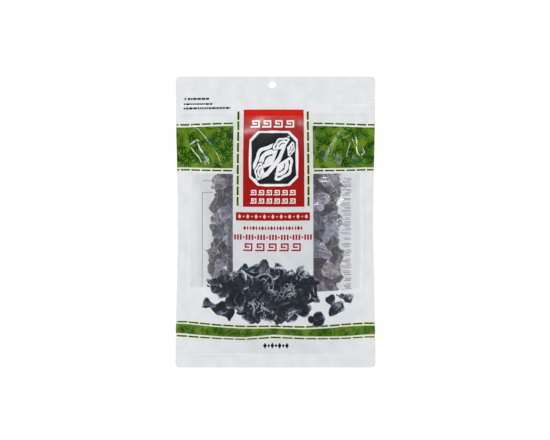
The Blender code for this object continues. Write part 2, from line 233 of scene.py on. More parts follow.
def fullness(x, y):
    """How full the pocket is: 1 at its middle, 0 at its seals and outside them."""
    middle = (POCKET_LOW + POCKET_HIGH) / 2
    reach = (POCKET_HIGH - POCKET_LOW) / 2
    across = np.clip(np.abs(x) / POCKET_HALF, 0, 1)
    along = np.clip(np.abs(y - middle) / reach, 0, 1)
    return (1 - across**SQUARE_ACROSS) ** STEEP_ACROSS * (1 - along**SQUARE_ALONG) ** STEEP_ALONG


def zip_relief(x, y):
    outside = np.maximum(np.maximum(POCKET_HIGH - y, y - ZIP_HIGH), (np.abs(x) - POCKET_HALF) / ZIP_END_EASE)
    rise = np.clip(1 - np.maximum(outside, 0) / ZIP_RAMP, 0, 1)
    return ZIP_RELIEF * rise * rise * (3 - 2 * rise)


def drawn_in(u, v):
    """Where a flat film's point lies across the filled pouch, whose bulge draws its sides in."""
    along = np.clip(np.abs(v) / HALF_HEIGHT, 0, 1)
    return u * (1 - WAIST / HALF_WIDTH * np.cos(along * math.pi / 2) ** 2 * (u / HALF_WIDTH) ** 2)


def back_place(u, v):
    """Where a point of the flat back film's outside lies."""
    x = drawn_in(u, v)
    full = fullness(x, v)
    ripple = RIPPLE * waves(x, v, RIPPLE_SIZE, RIPPLE_SEED) * np.clip(full * RIPPLE_EASE, 0, 1)
    ripple += PLEAT * waves(x, v * PLEAT_STRETCH, PLEAT_SIZE, PLEAT_SEED) * np.clip(full * PLEAT_EASE, 0, 1)
    crease = np.exp(-(((np.abs(x) - SIDE_CREASE_AT) / SIDE_CREASE_HALF) ** 2))
    ripple -= SIDE_CREASE * crease * np.clip(full * SIDE_CREASE_EASE, 0, 1)
    sag = np.maximum(BELLY * full, zip_relief(x, v)) + ripple
    return x, v, np.maximum(SEAL_Z - LAMINATE - sag, cad_low.z)


def stepped(corners, step):
    """A closed outline with points along its sides, no further apart than about one step."""
    outline = []
    for (ax, ay), (bx, by) in zip(corners, corners[1:] + corners[:1]):
        length = math.hypot(bx - ax, by - ay)
        if length < SHORTEST:
            continue
        steps = max(1, round(length / step))
        outline += [(ax + (bx - ax) * k / steps, ay + (by - ay) * k / steps) for k in range(steps)]
    return outline


def flat_outline():
    """The film's cut edge, counter-clockwise: rounded corners, and a tear notch in each side."""
    w, h, r = HALF_WIDTH, HALF_HEIGHT, CORNER
    turns = [k * math.pi / (2 * CORNER_STEPS) for k in range(CORNER_STEPS + 1)]
    low_left = [(-w + r - r * math.cos(t), -h + r - r * math.sin(t)) for t in turns]
    low_right = [(w - r + r * math.sin(t), -h + r - r * math.cos(t)) for t in turns]
    high_right = [(w - r + r * math.cos(t), h - r + r * math.sin(t)) for t in turns]
    high_left = [(-w + r - r * math.sin(t), h - r + r * math.cos(t)) for t in turns]
    notch_right = [(w, NOTCH_Y - NOTCH_HALF), (w - NOTCH_DEPTH, NOTCH_Y), (w, NOTCH_Y + NOTCH_HALF)]
    notch_left = [(-x, y) for x, y in reversed(notch_right)]
    return stepped(low_left + low_right + notch_right + high_right + high_left + notch_left, EDGE_STEP)


def circle(cx, cy, radius, sides):
    turns = [2 * math.pi * k / sides for k in range(sides)]
    return [(cx + radius * math.cos(t), cy + radius * math.sin(t)) for t in turns]


def box_shape(x0, y0, x1, y1):
    """A rectangle's outline, with points along its sides so that it bends with the film."""
    return stepped([(x0, y0), (x1, y0), (x1, y1), (x0, y1)], PRINT_STEP)


def grid_points(x0, y0, x1, y1, step):
    """Points on a staggered grid inside a rectangle."""
    points = []
    rows = int((y1 - y0) / step)
    for j in range(rows + 1):
        shift = step / 2 if j % 2 else 0.0
        for i in range(int((x1 - x0 - shift) / step) + 1):
            points.append((x0 + shift + i * step, y0 + j * (y1 - y0) / rows))
    return points


def off_hole(points, room):
    return [p for p in points if math.dist(p, HOLE_PLACE) > HOLE_RADIUS + room]


def cut_sheet(outline, holes, shapes, points):
    """Triangles of a flat sheet, cut along its holes and printed shapes, each with the last ink over it."""
    coords = []
    loops = []
    for loop in [outline, *holes, *(shape for shape, ink in shapes)]:
        loops.append(list(range(len(coords), len(coords) + len(loop))))
        coords += loop
    coords += points
    made = delaunay_2d_cdt([Vector(p) for p in coords], [], loops, 1, SAME_POINT, True)
    verts, _, faces, _, _, inside = made
    kept = []
    inks = []
    for face, over in zip(faces, inside):
        if 0 not in over or any(1 <= k <= len(holes) for k in over):
            continue
        printed = [k for k in over if k > len(holes)]
        kept.append(tuple(face))
        inks.append(shapes[max(printed) - 1 - len(holes)][1] if printed else 0)
    return [tuple(v) for v in verts], kept, inks


def rim_of(faces):
    """The sheet's open edges, each as its two points in the direction of its face."""
    seen = {}
    for face in faces:
        for a, b in zip(face, face[1:] + face[:1]):
            seen[a, b] = True
    return [edge for edge in seen if (edge[1], edge[0]) not in seen]


def loops_of(edges):
    """Open edges, joined into closed loops of points."""
    after = dict(edges)
    loops = []
    while after:
        start, point = next(iter(after.items()))
        loop = [start]
        del after[start]
        while point != start:
            loop.append(point)
            point = after.pop(point)
        loops.append(loop)
    return loops


def inner_sheet(outer, shapes, plain, step):
    """The plain inside of a film: the same cut edge, a coarser grid and few shapes."""
    flat, faces, _ = outer
    loops = [[flat[k] for k in loop] for loop in loops_of(rim_of(faces))]
    loops.sort(key=lambda loop: -max(x for x, y in loop))
    edge, *cuts = loops
    w, h = HALF_WIDTH - step, HALF_HEIGHT - step
    points = off_hole(grid_points(-w, -h, w, h, step), INNER_HOLE_ROOM)
    flat, faces, inks = cut_sheet(edge, [cut[::-1] for cut in cuts], shapes, points)
    return flat, faces, [ink or plain for ink in inks]


def true_normals(place, flat, upward):
    """The film's own slope at each point, which keeps its gloss smooth across small printed shapes."""
    u, v = flat[:, 0], flat[:, 1]
    across = np.stack(place(u + NORMAL_STEP, v), 1) - np.stack(place(u - NORMAL_STEP, v), 1)
    along = np.stack(place(u, v + NORMAL_STEP), 1) - np.stack(place(u, v - NORMAL_STEP), 1)
    normals = np.cross(across, along) * upward
    return normals / np.linalg.norm(normals, axis=1)[:, None]


def film_mesh(name, outer, inner, place, wall, finishes):
    """A thin closed film: a printed outer sheet, a plainer inner one, and the cut edge between them."""
    flat, faces, inks = outer
    in_flat, in_faces, in_inks = inner
    outer_flat, inner_flat = np.array(flat), np.array(in_flat)
    x, y, z = place(outer_flat[:, 0], outer_flat[:, 1])
    verts = list(zip(x, y, z))
    x, y, z = place(inner_flat[:, 0], inner_flat[:, 1])
    start = len(verts)
    verts += list(zip(x, y, z - wall))
    sides = [face if wall > 0 else face[::-1] for face in faces]
    sides += [tuple(start + k for k in (face[::-1] if wall > 0 else face)) for face in in_faces]
    marks = inks + in_inks
    at = {(round(u, 7), round(v, 7)): start + k for k, (u, v) in enumerate(in_flat)}
    for a, b in rim_of(faces):
        c = at[round(flat[b][0], 7), round(flat[b][1], 7)]
        d = at[round(flat[a][0], 7), round(flat[a][1], 7)]
        sides.append((b, a, d, c) if wall > 0 else (a, b, c, d))
        marks.append(0)
    mesh = bpy.data.meshes.new(name)
    mesh.from_pydata(verts, [], sides)
    for finish in finishes:
        mesh.materials.append(finish)
    mesh.polygons.foreach_set("material_index", marks)
    chart = mesh.uv_layers.new(name="flat")
    corners = np.array([k for side in sides for k in side])
    chart.data.foreach_set("uv", np.concatenate([outer_flat, inner_flat])[corners].ravel())
    mesh.shade_smooth()
    outward = 1 if wall > 0 else -1
    skins = [true_normals(place, outer_flat, outward), true_normals(place, inner_flat, -outward)]
    mesh.normals_split_custom_set_from_vertices(np.concatenate(skins))
    mesh.update()
    return mesh


CLOUD_SCALE, CLOUD_DETAIL = 75.0, 4.0
CLOUD_SPAN = (0.36, 0.64)
DULLEST, GLOSSIEST = 0.06, -0.05  # how far the roughness goes up and down
PEEL_SCALE, PEEL_DETAIL = 260.0, 3.0
PEEL_DEPTH = 0.0006
FILM_IOR = 1.5


def new_node(tree, kind, fed=None, **settings):
    """A new node of a tree, with its settings made before its inputs are fed."""
    node = tree.nodes.new(kind)
    for word, value in settings.items():
        setattr(node, word, value)
    feed(tree, node, fed or {})
    return node


def stored(tree, word):
    """The number that the mesh stores under a word."""
    return new_node(tree, "ShaderNodeAttribute", attribute_name=word).outputs["Fac"]


def noise_of(tree, scale, detail, distortion=0.0):
    """Noise that stays on the piece."""
    where = new_node(tree, "ShaderNodeTexCoord").outputs["Object"]
    fed = {"Vector": where, "Scale": scale, "Detail": detail, "Distortion": distortion}
    return new_node(tree, "ShaderNodeTexNoise", fed).outputs["Fac"]


def spread(tree, value, low, high, start=0.0, stop=1.0):
    """A value from start to stop, spread from low to high."""
    fed = {"Value": value, "From Min": start, "From Max": stop, "To Min": low, "To Max": high}
    return new_node(tree, "ShaderNodeMapRange", fed).outputs["Result"]


def mixed(tree, share, first, second, blend="MIX"):
    """Two colours, mixed by a share."""
    fed = {"Factor": share, "A": first, "B": second}
    return new_node(tree, "ShaderNodeMix", fed, data_type="RGBA", blend_type=blend).outputs["Result"]


def bumped(tree, height, strength, distance):
    fed = {"Height": height, "Strength": strength, "Distance": distance}
    return new_node(tree, "ShaderNodeBump", fed).outputs["Normal"]


def ink_finish(name, colour, second=None, roughness=0.13, speck=0.03, grain=0.035, over_dark=1.0, more=None):
    """Ink under a glossy film: its colour drifts a little, or clouds into a second one, the gloss is never
    quite even, and where dark ears lie close behind it, a thin ink is darker."""
    material, tree, shader = shader_of(name)
    cloud = noise_of(tree, CLOUD_SCALE, CLOUD_DETAIL)
    low = (*(c * (1 - speck) for c in colour), 1)
    high = (*(min(1.0, c * (1 + speck)) for c in second or colour), 1)
    tint = mixed(tree, spread(tree, cloud, 0.0, 1.0, *CLOUD_SPAN), low, high)
    backed = spread(tree, stored(tree, "behind"), 1.0, over_dark)
    feed(tree, shader, {
        "Base Color": mixed(tree, 1.0, tint, backed, "MULTIPLY"),
        "Roughness": spread(tree, cloud, roughness + GLOSSIEST, roughness + DULLEST),
        "Normal": bumped(tree, noise_of(tree, PEEL_SCALE, PEEL_DETAIL), grain, PEEL_DEPTH),
        "IOR": FILM_IOR,
        **(more or {}),
    })
    return material


WHITE_INK = (0.700, 0.708, 0.728)
WHITE_OVER_DARK = 0.875
INSIDE_WHITE = (0.455, 0.462, 0.485)
INSIDE_ROUGHNESS = 0.45
PRINT_GREY = (0.30, 0.31, 0.33)
SHOWN_GREY = (0.17, 0.175, 0.20)  # the back print, seen through the film from inside
PAINTED_GLOW_COLOUR = (0.960, 0.980, 1.0, 1)
INSIDE_PAINTED_GLOW = 0.47  # a painted glow on the inside of the film, in place of the daylight that the thin film lets through
SHOWN_PAINTED_GLOW = INSIDE_PAINTED_GLOW * 0.30

white_ink = ink_finish("white ink", WHITE_INK, over_dark=WHITE_OVER_DARK)
back_rule = ink_finish("grey back print", PRINT_GREY)
# The inside of the film and the back print seen from inside glow as painted light, over a duller white.
glow = {"Emission Color": PAINTED_GLOW_COLOUR, "Emission Strength": INSIDE_PAINTED_GLOW}
inside_white = ink_finish("inside of the film", INSIDE_WHITE, roughness=INSIDE_ROUGHNESS, more=glow)
glow = {"Emission Color": PAINTED_GLOW_COLOUR, "Emission Strength": SHOWN_PAINTED_GLOW}
show_through = ink_finish("back print seen from inside", SHOWN_GREY, more=glow)

TABLE_BOX = (-0.0821, -0.0780, 0.0850, 0.0330)  # the table's empty frame, open to the right
RULE = 0.0006
CELL = 0.0120
CELL_RISE = 0.0125
LINES_HIGH = 0.0480  # rules stand at the table's right, up to this height
LINE_COUNTS = (2, 3, 5, 7)
LINE_PITCHES = (0.0013, 0.0015, 0.0019)
LINE_HEIGHT = 0.0007
BACK_GRID = 0.0030
BACK_INNER_GRID = 0.0026
GRID_HALF = (0.108, 0.158)

left, low, right, high = TABLE_BOX
back_lines = [box_shape(left, low, left + RULE, high), box_shape(left + RULE, high - RULE, left + CELL, high)]
back_lines.append(box_shape(left + RULE, high + CELL_RISE, left + CELL, high + CELL_RISE + RULE))
line_rng = random.Random(12)
y = LINES_HIGH
while y > low:
    for _ in range(line_rng.choice(LINE_COUNTS)):
        start, reach = line_rng.uniform(0, 0.0020), line_rng.uniform(0.0050, 0.0110)
        back_lines.append(box_shape(right - start - reach, y, right - start, y + LINE_HEIGHT))
        y -= line_rng.choice(LINE_PITCHES)
    y -= line_rng.uniform(0.0006, 0.0030)
film_hole = circle(*HOLE_PLACE, HOLE_RADIUS, HOLE_SIDES)
outline = flat_outline()
w, h = GRID_HALF
back_points = off_hole(grid_points(-w, -h, w, h, BACK_GRID), BACK_HOLE_ROOM)
back_outer = cut_sheet(outline, [film_hole], [(shape, 1) for shape in back_lines], back_points)
back_inner = inner_sheet(back_outer, [(shape, 2) for shape in back_lines], 3, BACK_INNER_GRID)
back_finishes = [white_ink, back_rule, show_through, inside_white]
back_mesh = film_mesh("back_sheet", back_outer, back_inner, back_place, -LAMINATE, back_finishes)
back_sheet = mesh_object("back_sheet", back_mesh)
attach(back_sheet, "root")
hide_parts("back_film")

# ---------------------------------------------------------------- the zip
# Two extruded strips of clear soft plastic, a rib and the jaw that it snaps into. They are welded to the
# insides of the films just above the pocket, so that only their relief shows outside.
STRIP_CLEAR = (0.80, 0.83, 0.86)
STRIP_DEPTH = (0.002, 0.002, 0.002)  # how far light goes into the plastic

milky = {"Subsurface Weight": 0.3, "Subsurface Radius": STRIP_DEPTH}
uneven = {"roughness": 0.34, "speck": 0.02, "grain": 0.05}
strip_plastic = ink_finish("soft strip plastic", STRIP_CLEAR, **uneven, more=milky)
for name in ("zip_rib_strip", "zip_jaw_strip"):
    frame["nodes"][name].data.materials.clear()
    frame["nodes"][name].data.materials.append(strip_plastic)

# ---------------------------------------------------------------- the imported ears
# The pouch is full of whole dried wood ears, thin brittle cups with waved rims. Hundreds of them lie over
# one another at every tilt, and their edges show at the borders of the windows.
CROWN = 0.0295  # how high the filled front film's inside stands over its seals
FILM_CLEARANCE = 0.0007
HEAP_SEED = 11
EARS_PER_AREA = 9000.0
EAR_KINDS = 6
EAR_RADIUS = 0.0135
EAR_SPOKES = 10
EAR_RINGS = (0.4, 0.75, 1.0)
EAR_WALL = 0.0011
EAR_SIZE_LOW, EAR_SIZE_HIGH = 0.55, 1.05
EAR_CUP, EAR_RUFFLE = (0.18, 0.42), (0.10, 0.22)  # beside its radius
EAR_CURL, EAR_STRETCH = 1.3, (0.72, 1.0)
EAR_WAVES = (3, 4, 5)
EAR_STRAYS = (0.16, 0.10, 0.07)  # how its outline strays from a circle, once, twice and three times round
SINK = 0.0038
TILT = 0.75
EAR_DARK = (0.102, 0.106, 0.156)
EAR_WARM = (0.180, 0.150, 0.150)
EAR_FELT = (0.178, 0.182, 0.245)
# The rim colour is a painted highlight, laid along the ears' rims and on the crests of their creases.
EAR_RIM = (0.420, 0.420, 0.500)
EAR_ROUGHNESS = 0.42
PATCH_SCALE, PATCH_DETAIL, PATCH_DISTORTION = 130.0, 5.0, 0.8
PATCH_SPAN = (0.50, 1.50, 0.3, 0.7)
WRINKLE_SCALE, WRINKLE_DETAIL = 420.0, 6.0
WRINKLE_SPAN = (0.80, 1.20, 0.35, 0.65)
WRINKLE_STRENGTH, WRINKLE_DEPTH = 0.5, 0.0009
LOOSE_EAR_PAINTED_GLOW = 0.006  # a painted glow, in place of the daylight between the ears at the windows, and among those in the heap
DEEP_EAR_PAINTED_GLOW = 0.030


def ear_lobe(rng, radius, spokes, rings, wall):
    """One ear: a waved, curled cup of a thin wall. Returns its points, its faces and how near each face is
    to the rim."""
    lobes = [rng.uniform(0, 2 * math.pi) for _ in range(4)]
    waving = rng.choice(EAR_WAVES)
    cup = rng.uniform(*EAR_CUP) * radius
    ruffle = rng.uniform(*EAR_RUFFLE) * radius
    curl = rng.uniform(-EAR_CURL, EAR_CURL) / radius
    stretch = rng.uniform(*EAR_STRETCH)
    verts = [Vector((0, 0, 0))]
    for ring in rings:
        for k in range(spokes):
            turn = 2 * math.pi * k / spokes
            stray = EAR_STRAYS[0] * math.cos(turn + lobes[0]) + EAR_STRAYS[1] * math.cos(2 * turn + lobes[1])
            reach = radius * (1 + stray + EAR_STRAYS[2] * math.cos(3 * turn + lobes[2]))
            bent = curl * reach * ring * math.cos(turn)
            y = reach * ring * math.sin(turn) * stretch
            z = cup * ring * ring + ruffle * ring**3 * math.sin(waving * turn + lobes[3])
            verts.append(Vector((math.sin(bent) / curl, y, z + (1 - math.cos(bent)) / curl)))
    faces = [(0, 1 + k, 1 + (k + 1) % spokes) for k in range(spokes)]
    near = [0.0] * spokes
    for r, ring in enumerate(rings[1:]):
        low, high = 1 + r * spokes, 1 + (r + 1) * spokes
        faces += [(low + k, high + k, high + (k + 1) % spokes, low + (k + 1) % spokes) for k in range(spokes)]
        near += [ring] * spokes
    if wall:
        count = len(verts)
        faces += [tuple(count + k for k in reversed(face)) for face in faces]
        near += near
        verts += [p - Vector((0, 0, wall)) for p in verts]
        around = [count - spokes + k for k in range(spokes)]
        faces += [(a, a + count, b + count, b) for a, b in zip(around, around[1:] + around[:1])]
        near += [1.0] * spokes
    return verts, faces, near


def ear_finish(name, glow):
    """Dried wood ear: nearly black and satin above, greyer and felted below, some ears browner, with a
    painted highlight in a pale colour on its rims and crease crests, and a painted glow.
    """
    material, tree, shader = shader_of(name)
    wrinkle = noise_of(tree, WRINKLE_SCALE, WRINKLE_DETAIL)
    patches = noise_of(tree, PATCH_SCALE, PATCH_DETAIL, PATCH_DISTORTION)
    skin = mixed(tree, stored(tree, "tone"), (*EAR_DARK, 1), (*EAR_WARM, 1))
    side = mixed(tree, stored(tree, "under"), skin, (*EAR_FELT, 1))
    lip = mixed(tree, stored(tree, "rim"), side, (*EAR_RIM, 1))
    mottled = mixed(tree, 1.0, lip, spread(tree, patches, *PATCH_SPAN), "MULTIPLY")
    # The colour is darker in the hollows of the wrinkles' bump and lighter on its crests, from the same
    # noise.
    wrinkle_toned = mixed(tree, 1.0, mottled, spread(tree, wrinkle, *WRINKLE_SPAN), "MULTIPLY")
    feed(tree, shader, {
        "Base Color": wrinkle_toned,
        "Normal": bumped(tree, wrinkle, WRINKLE_STRENGTH, WRINKLE_DEPTH),
        "Roughness": EAR_ROUGHNESS,
        "Emission Color": PAINTED_GLOW_COLOUR,
        "Emission Strength": glow,
    })
    return material


def read_points(mesh, word="co"):
    """The mesh's points, or the directions that its points face, as rows of x, y and z."""
    values = np.empty(len(mesh.vertices) * 3)
    mesh.vertices.foreach_get(word, values)
    return values.reshape(-1, 3)


def kept_between_films(points, room_over, dip=0.0):
    """Presses points between the insides of the two filled films, the front one lowered by a dip."""
    full = fullness(points[:, 0], points[:, 1])
    film_over = SEAL_Z + CROWN * full - dip
    film_under = np.maximum(SEAL_Z - BELLY * full, cad_low.z) + LAMINATE
    points[:, 2] = np.clip(points[:, 2], film_under + FILM_CLEARANCE, film_over - room_over)


# Both ear finishes glow as painted light; the ears deep in the heap glow more, as painted light in their
# gaps.
ear_skin = ear_finish("dried ear", LOOSE_EAR_PAINTED_GLOW)
deep_skin = ear_finish("ear in the heap", DEEP_EAR_PAINTED_GLOW)
lobe_rng = random.Random(HEAP_SEED)
kinds = bpy.data.collections.new("ear_kinds")
for _ in range(EAR_KINDS):
    verts, faces, _ = ear_lobe(lobe_rng, EAR_RADIUS, EAR_SPOKES, EAR_RINGS, EAR_WALL)
    kind = bpy.data.meshes.new("ear_kind")
    kind.from_pydata(verts, [], faces)
    kind.shade_smooth()
    kinds.objects.link(bpy.data.objects.new("ear_kind", kind))

heap_tree = bpy.data.node_groups.new("heap of ears", "GeometryNodeTree")
heap_tree.interface.new_socket("Heap", in_out="INPUT", socket_type="NodeSocketGeometry")
named = {}
for word, kind, value in (
    ("Ears per Area", "NodeSocketFloat", EARS_PER_AREA),
    ("Smallest", "NodeSocketFloat", EAR_SIZE_LOW),
    ("Largest", "NodeSocketFloat", EAR_SIZE_HIGH),
    ("Sink", "NodeSocketFloat", SINK),
    ("Tilt", "NodeSocketFloat", TILT),
    ("Kinds", "NodeSocketCollection", None),
    ("Finish", "NodeSocketMaterial", None),
):
    socket = heap_tree.interface.new_socket(word, in_out="INPUT", socket_type=kind)
    if value is not None:
        socket.default_value = value
    named[word] = socket.identifier
heap_tree.interface.new_socket("Ears", in_out="OUTPUT", socket_type="NodeSocketGeometry")


def heap_node(kind, fed=None, **settings):
    return new_node(heap_tree, kind, fed, **settings).outputs


def turned_over(value):
    """A number below nothing for one above it."""
    return heap_node("ShaderNodeMath", {0: value, 1: -1.0}, operation="MULTIPLY")["Value"]


given = heap_node("NodeGroupInput")
scatter = heap_node("GeometryNodeDistributePointsOnFaces", {
    "Mesh": given["Heap"],
    "Density": given["Ears per Area"],
    "Seed": HEAP_SEED,
})
depth = heap_node("FunctionNodeRandomValue", {3: given["Sink"], "Seed": HEAP_SEED + 1})[1]
inward = {0: scatter["Normal"], "Scale": turned_over(depth)}
sunk = heap_node("GeometryNodeSetPosition", {
    "Geometry": scatter["Points"],
    "Offset": heap_node("ShaderNodeVectorMath", inward, operation="SCALE")["Vector"],
})
backward, forward = turned_over(given["Tilt"]), given["Tilt"]
least = heap_node("ShaderNodeCombineXYZ", {"X": backward, "Y": backward})["Vector"]
most = heap_node("ShaderNodeCombineXYZ", {"X": forward, "Y": forward, "Z": 2 * math.pi})["Vector"]
turns = {0: least, 1: most, "Seed": HEAP_SEED + 2}
lean = heap_node("FunctionNodeRandomValue", turns, data_type="FLOAT_VECTOR")
leaned = {
    "Rotation": scatter["Rotation"],
    "Rotate By": heap_node("FunctionNodeEulerToRotation", {"Euler": lean[0]})["Rotation"],
}
ends = {2: given["Smallest"], 3: given["Largest"]}
picked = {4: 0, 5: EAR_KINDS - 1, "Seed": HEAP_SEED + 4}
store = heap_node("GeometryNodeCollectionInfo", {
    "Collection": given["Kinds"],
    "Separate Children": True,
    "Reset Children": True,
})
strewn = heap_node("GeometryNodeInstanceOnPoints", {
    "Points": sunk["Geometry"],
    "Instance": store["Instances"],
    "Pick Instance": True,
    "Instance Index": heap_node("FunctionNodeRandomValue", picked, data_type="INT")[2],
    "Rotation": heap_node("FunctionNodeRotateRotation", leaned, rotation_space="LOCAL")["Rotation"],
    "Scale": heap_node("FunctionNodeRandomValue", {**ends, "Seed": HEAP_SEED + 3})[1],
})
toned = heap_node("GeometryNodeStoreNamedAttribute", {
    "Geometry": strewn["Instances"],
    "Name": "tone",
    "Value": heap_node("FunctionNodeRandomValue", {"Seed": HEAP_SEED + 5})[1],
}, domain="INSTANCE")
real = heap_node("GeometryNodeRealizeInstances", {"Geometry": toned["Geometry"]})
finished = heap_node("GeometryNodeSetMaterial", {"Geometry": real["Geometry"], "Material": given["Finish"]})
heap_node("NodeGroupOutput", {"Ears": finished["Geometry"]})

packed = mesh_object("packed_ears_loose", frame["nodes"]["packed_ears"].data.copy())
heaped = packed.modifiers.new("heap", "NODES")
heaped.node_group = heap_tree
heaped[named["Kinds"]] = kinds
heaped[named["Finish"]] = deep_skin
bpy.context.view_layer.update()
packed_mesh = bpy.data.meshes.new_from_object(packed.evaluated_get(bpy.context.evaluated_depsgraph_get()))
packed.modifiers.clear()
packed.data = packed_mesh
points = read_points(packed_mesh)
kept_between_films(points, FILM_CLEARANCE)
packed_mesh.vertices.foreach_set("co", points.ravel())
packed_mesh.shade_smooth()
packed_mesh.update()
for kind in list(kinds.objects):
    bpy.data.objects.remove(kind)
bpy.data.collections.remove(kinds)
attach(packed, "root")
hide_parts("packed_ears")

# ---------------------------------------------------------------- the ears at the windows
# The ears that lie against the clear windows, each a piece of its own. They dried from soft flesh, so
# their skins are puckered, their rims are waved and curled, and their undersides are grey and felted.
SMOOTHING = 3
FLAT_ANGLE, FLAT_SHAPE = 1.2, 1.6  # how unlike two triangles may be and still make one square face
RIM_SECTORS = 30
# Where the painted highlight along an ear's rim starts, and how fast it grows.
RIM_START = 0.93
RIM_EASE = 0.06
RIM_WAVE = 0.0016
RIM_WAVES = ((1.0, 2, 3), (0.6, 5, 4), (0.3, 11, 2))  # shares, times round the rim, and phases
RIM_STRAYS = ((0.12, 2, 0), (0.08, 3, 1))
NOTCHING, NOTCH_SIZE = 0.16, 0.0060
PUCKER, PUCKER_SIZE = 0.0013, 0.0075
CREASE, CREASE_SIZE = 0.0016, 0.0080
FINE_CREASE = 0.45 * CREASE
PUCKER_SEED, CREASE_SEED, NOTCH_SEED, FINE_CREASE_SEED = 31, 32, 33, 34
RIDGE_HIGHLIGHT, RIDGE_HIGHLIGHT_SHARP, RIDGE_HIGHLIGHT_START = 0.75, 6, 5.1  # how far and where a crease's ridge is painted pale, as a painted highlight
FINE_RIDGE_HIGHLIGHT, FINE_RIDGE_HIGHLIGHT_SHARP, FINE_RIDGE_HIGHLIGHT_START = 0.35, 5, 4.2
FELT_SHARP, FELT_SHIFT = 1.5, 0.2
CUPPED_SHARE = 0.45
STRIP_DIP = 0.0030  # the ears lie this much deeper beside the printed strip, in its shade
STRIP_MIDDLE, STRIP_EASE = -0.0026, 0.0070
STRIP_REACH = 0.0520

ear_rng = random.Random(5)
for name in sorted(n for n in frame["nodes"] if n.startswith("window_ear")):
    work = bmesh.new()
    work.from_mesh(frame["nodes"][name].data)
    bmesh.ops.remove_doubles(work, verts=work.verts, dist=SHORTEST)
    alike = {"angle_face_threshold": FLAT_ANGLE, "angle_shape_threshold": FLAT_SHAPE}
    bmesh.ops.join_triangles(work, faces=work.faces, **alike)
    rough = bpy.data.meshes.new(name + "_rough")
    work.to_mesh(rough)
    work.free()
    ear = mesh_object("dried_" + name, rough)
    rounding = ear.modifiers.new("rounding", "SUBSURF")
    rounding.levels = rounding.render_levels = SMOOTHING
    fine = bpy.data.meshes.new_from_object(ear.evaluated_get(bpy.context.evaluated_depsgraph_get()))
    ear.modifiers.clear()
    ear.data = fine
    points = read_points(fine)
    middle = points.mean(0)
    _, _, axes = np.linalg.svd(points - middle, full_matrices=False)
    facing = axes[2] if axes[2][2] > 0 else -axes[2]
    upper = read_points(fine, "normal") @ facing
    flat = (points - middle) @ axes[:2].T
    reach = np.hypot(flat[:, 0], flat[:, 1])
    turn = np.arctan2(flat[:, 1], flat[:, 0])
    sector = ((turn / (2 * math.pi) + 1) * RIM_SECTORS).astype(int) % RIM_SECTORS
    widest = np.array([reach[sector == k].max(initial=1e-3) for k in range(RIM_SECTORS)])
    outward = np.clip(reach / widest[sector], 0, 1)
    phases = [ear_rng.uniform(0, 2 * math.pi) for _ in range(5)]
    shift = ear_rng.uniform(0, 1)
    notch = sum(share * np.sin(times * turn + phases[k]) for share, times, k in RIM_STRAYS)
    notch += NOTCHING * waves(points[:, 0] + shift, points[:, 1], NOTCH_SIZE, NOTCH_SEED)
    points += (flat * (notch * outward**2)[:, None]) @ axes[:2]
    wave = sum(share * np.sin(times * turn + phases[k]) for share, times, k in RIM_WAVES)
    points += facing * (RIM_WAVE * wave * outward**3)[:, None]
    along, across = flat[:, 0] + shift, flat[:, 1] * 2
    ridge = 1 - np.abs(waves(along, across, CREASE_SIZE, CREASE_SEED))
    fine_ridge = 1 - np.abs(waves(along + shift, across, CREASE_SIZE / 2, FINE_CREASE_SEED))
    swell = PUCKER * waves(points[:, 0] + shift, points[:, 1], PUCKER_SIZE, PUCKER_SEED)
    swell += CREASE * ridge**4 + FINE_CREASE * fine_ridge**3
    points += facing * swell[:, None]
    dip = STRIP_DIP * np.clip((STRIP_REACH - np.abs(points[:, 0] - STRIP_MIDDLE)) / STRIP_EASE, 0, 1)
    kept_between_films(points, FILM_CLEARANCE / 2, dip)
    fine.vertices.foreach_set("co", points.ravel())
    cupped = ear_rng.random() < CUPPED_SHARE
    # Painted highlight: the crests of the creases are painted pale.
    ridge_highlight = RIDGE_HIGHLIGHT * np.clip(ridge * RIDGE_HIGHLIGHT_SHARP - RIDGE_HIGHLIGHT_START, 0, 1)
    ridge_highlight += FINE_RIDGE_HIGHLIGHT * np.clip(fine_ridge * FINE_RIDGE_HIGHLIGHT_SHARP - FINE_RIDGE_HIGHLIGHT_START, 0, 1)
    brown = ear_rng.uniform(0, 1) ** 2
    for word, values in (
        ("under", (-upper if cupped else upper) * FELT_SHARP + FELT_SHIFT),
        ("rim", np.maximum((outward - RIM_START) / RIM_EASE, ridge_highlight)),
        ("tone", np.full(len(points), brown)),
    ):
        skin = fine.attributes.new(word, "FLOAT", "POINT")
        skin.data.foreach_set("value", np.clip(values, 0, 1))
    fine.materials.clear()
    fine.materials.append(ear_skin)
    fine.shade_smooth()
    fine.update()
    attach(ear, "root")
    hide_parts(name)

# ---------------------------------------------------------------- the folds of the front film
# The front film is laminate like the back one, and welded to it. The ears push it up into a dome, and it
# gathers in sharp folds where the dome runs out below the zip. The folds flash where they mirror a lamp.
PHOTO_WIDTH, PHOTO_HEIGHT = 550, 440
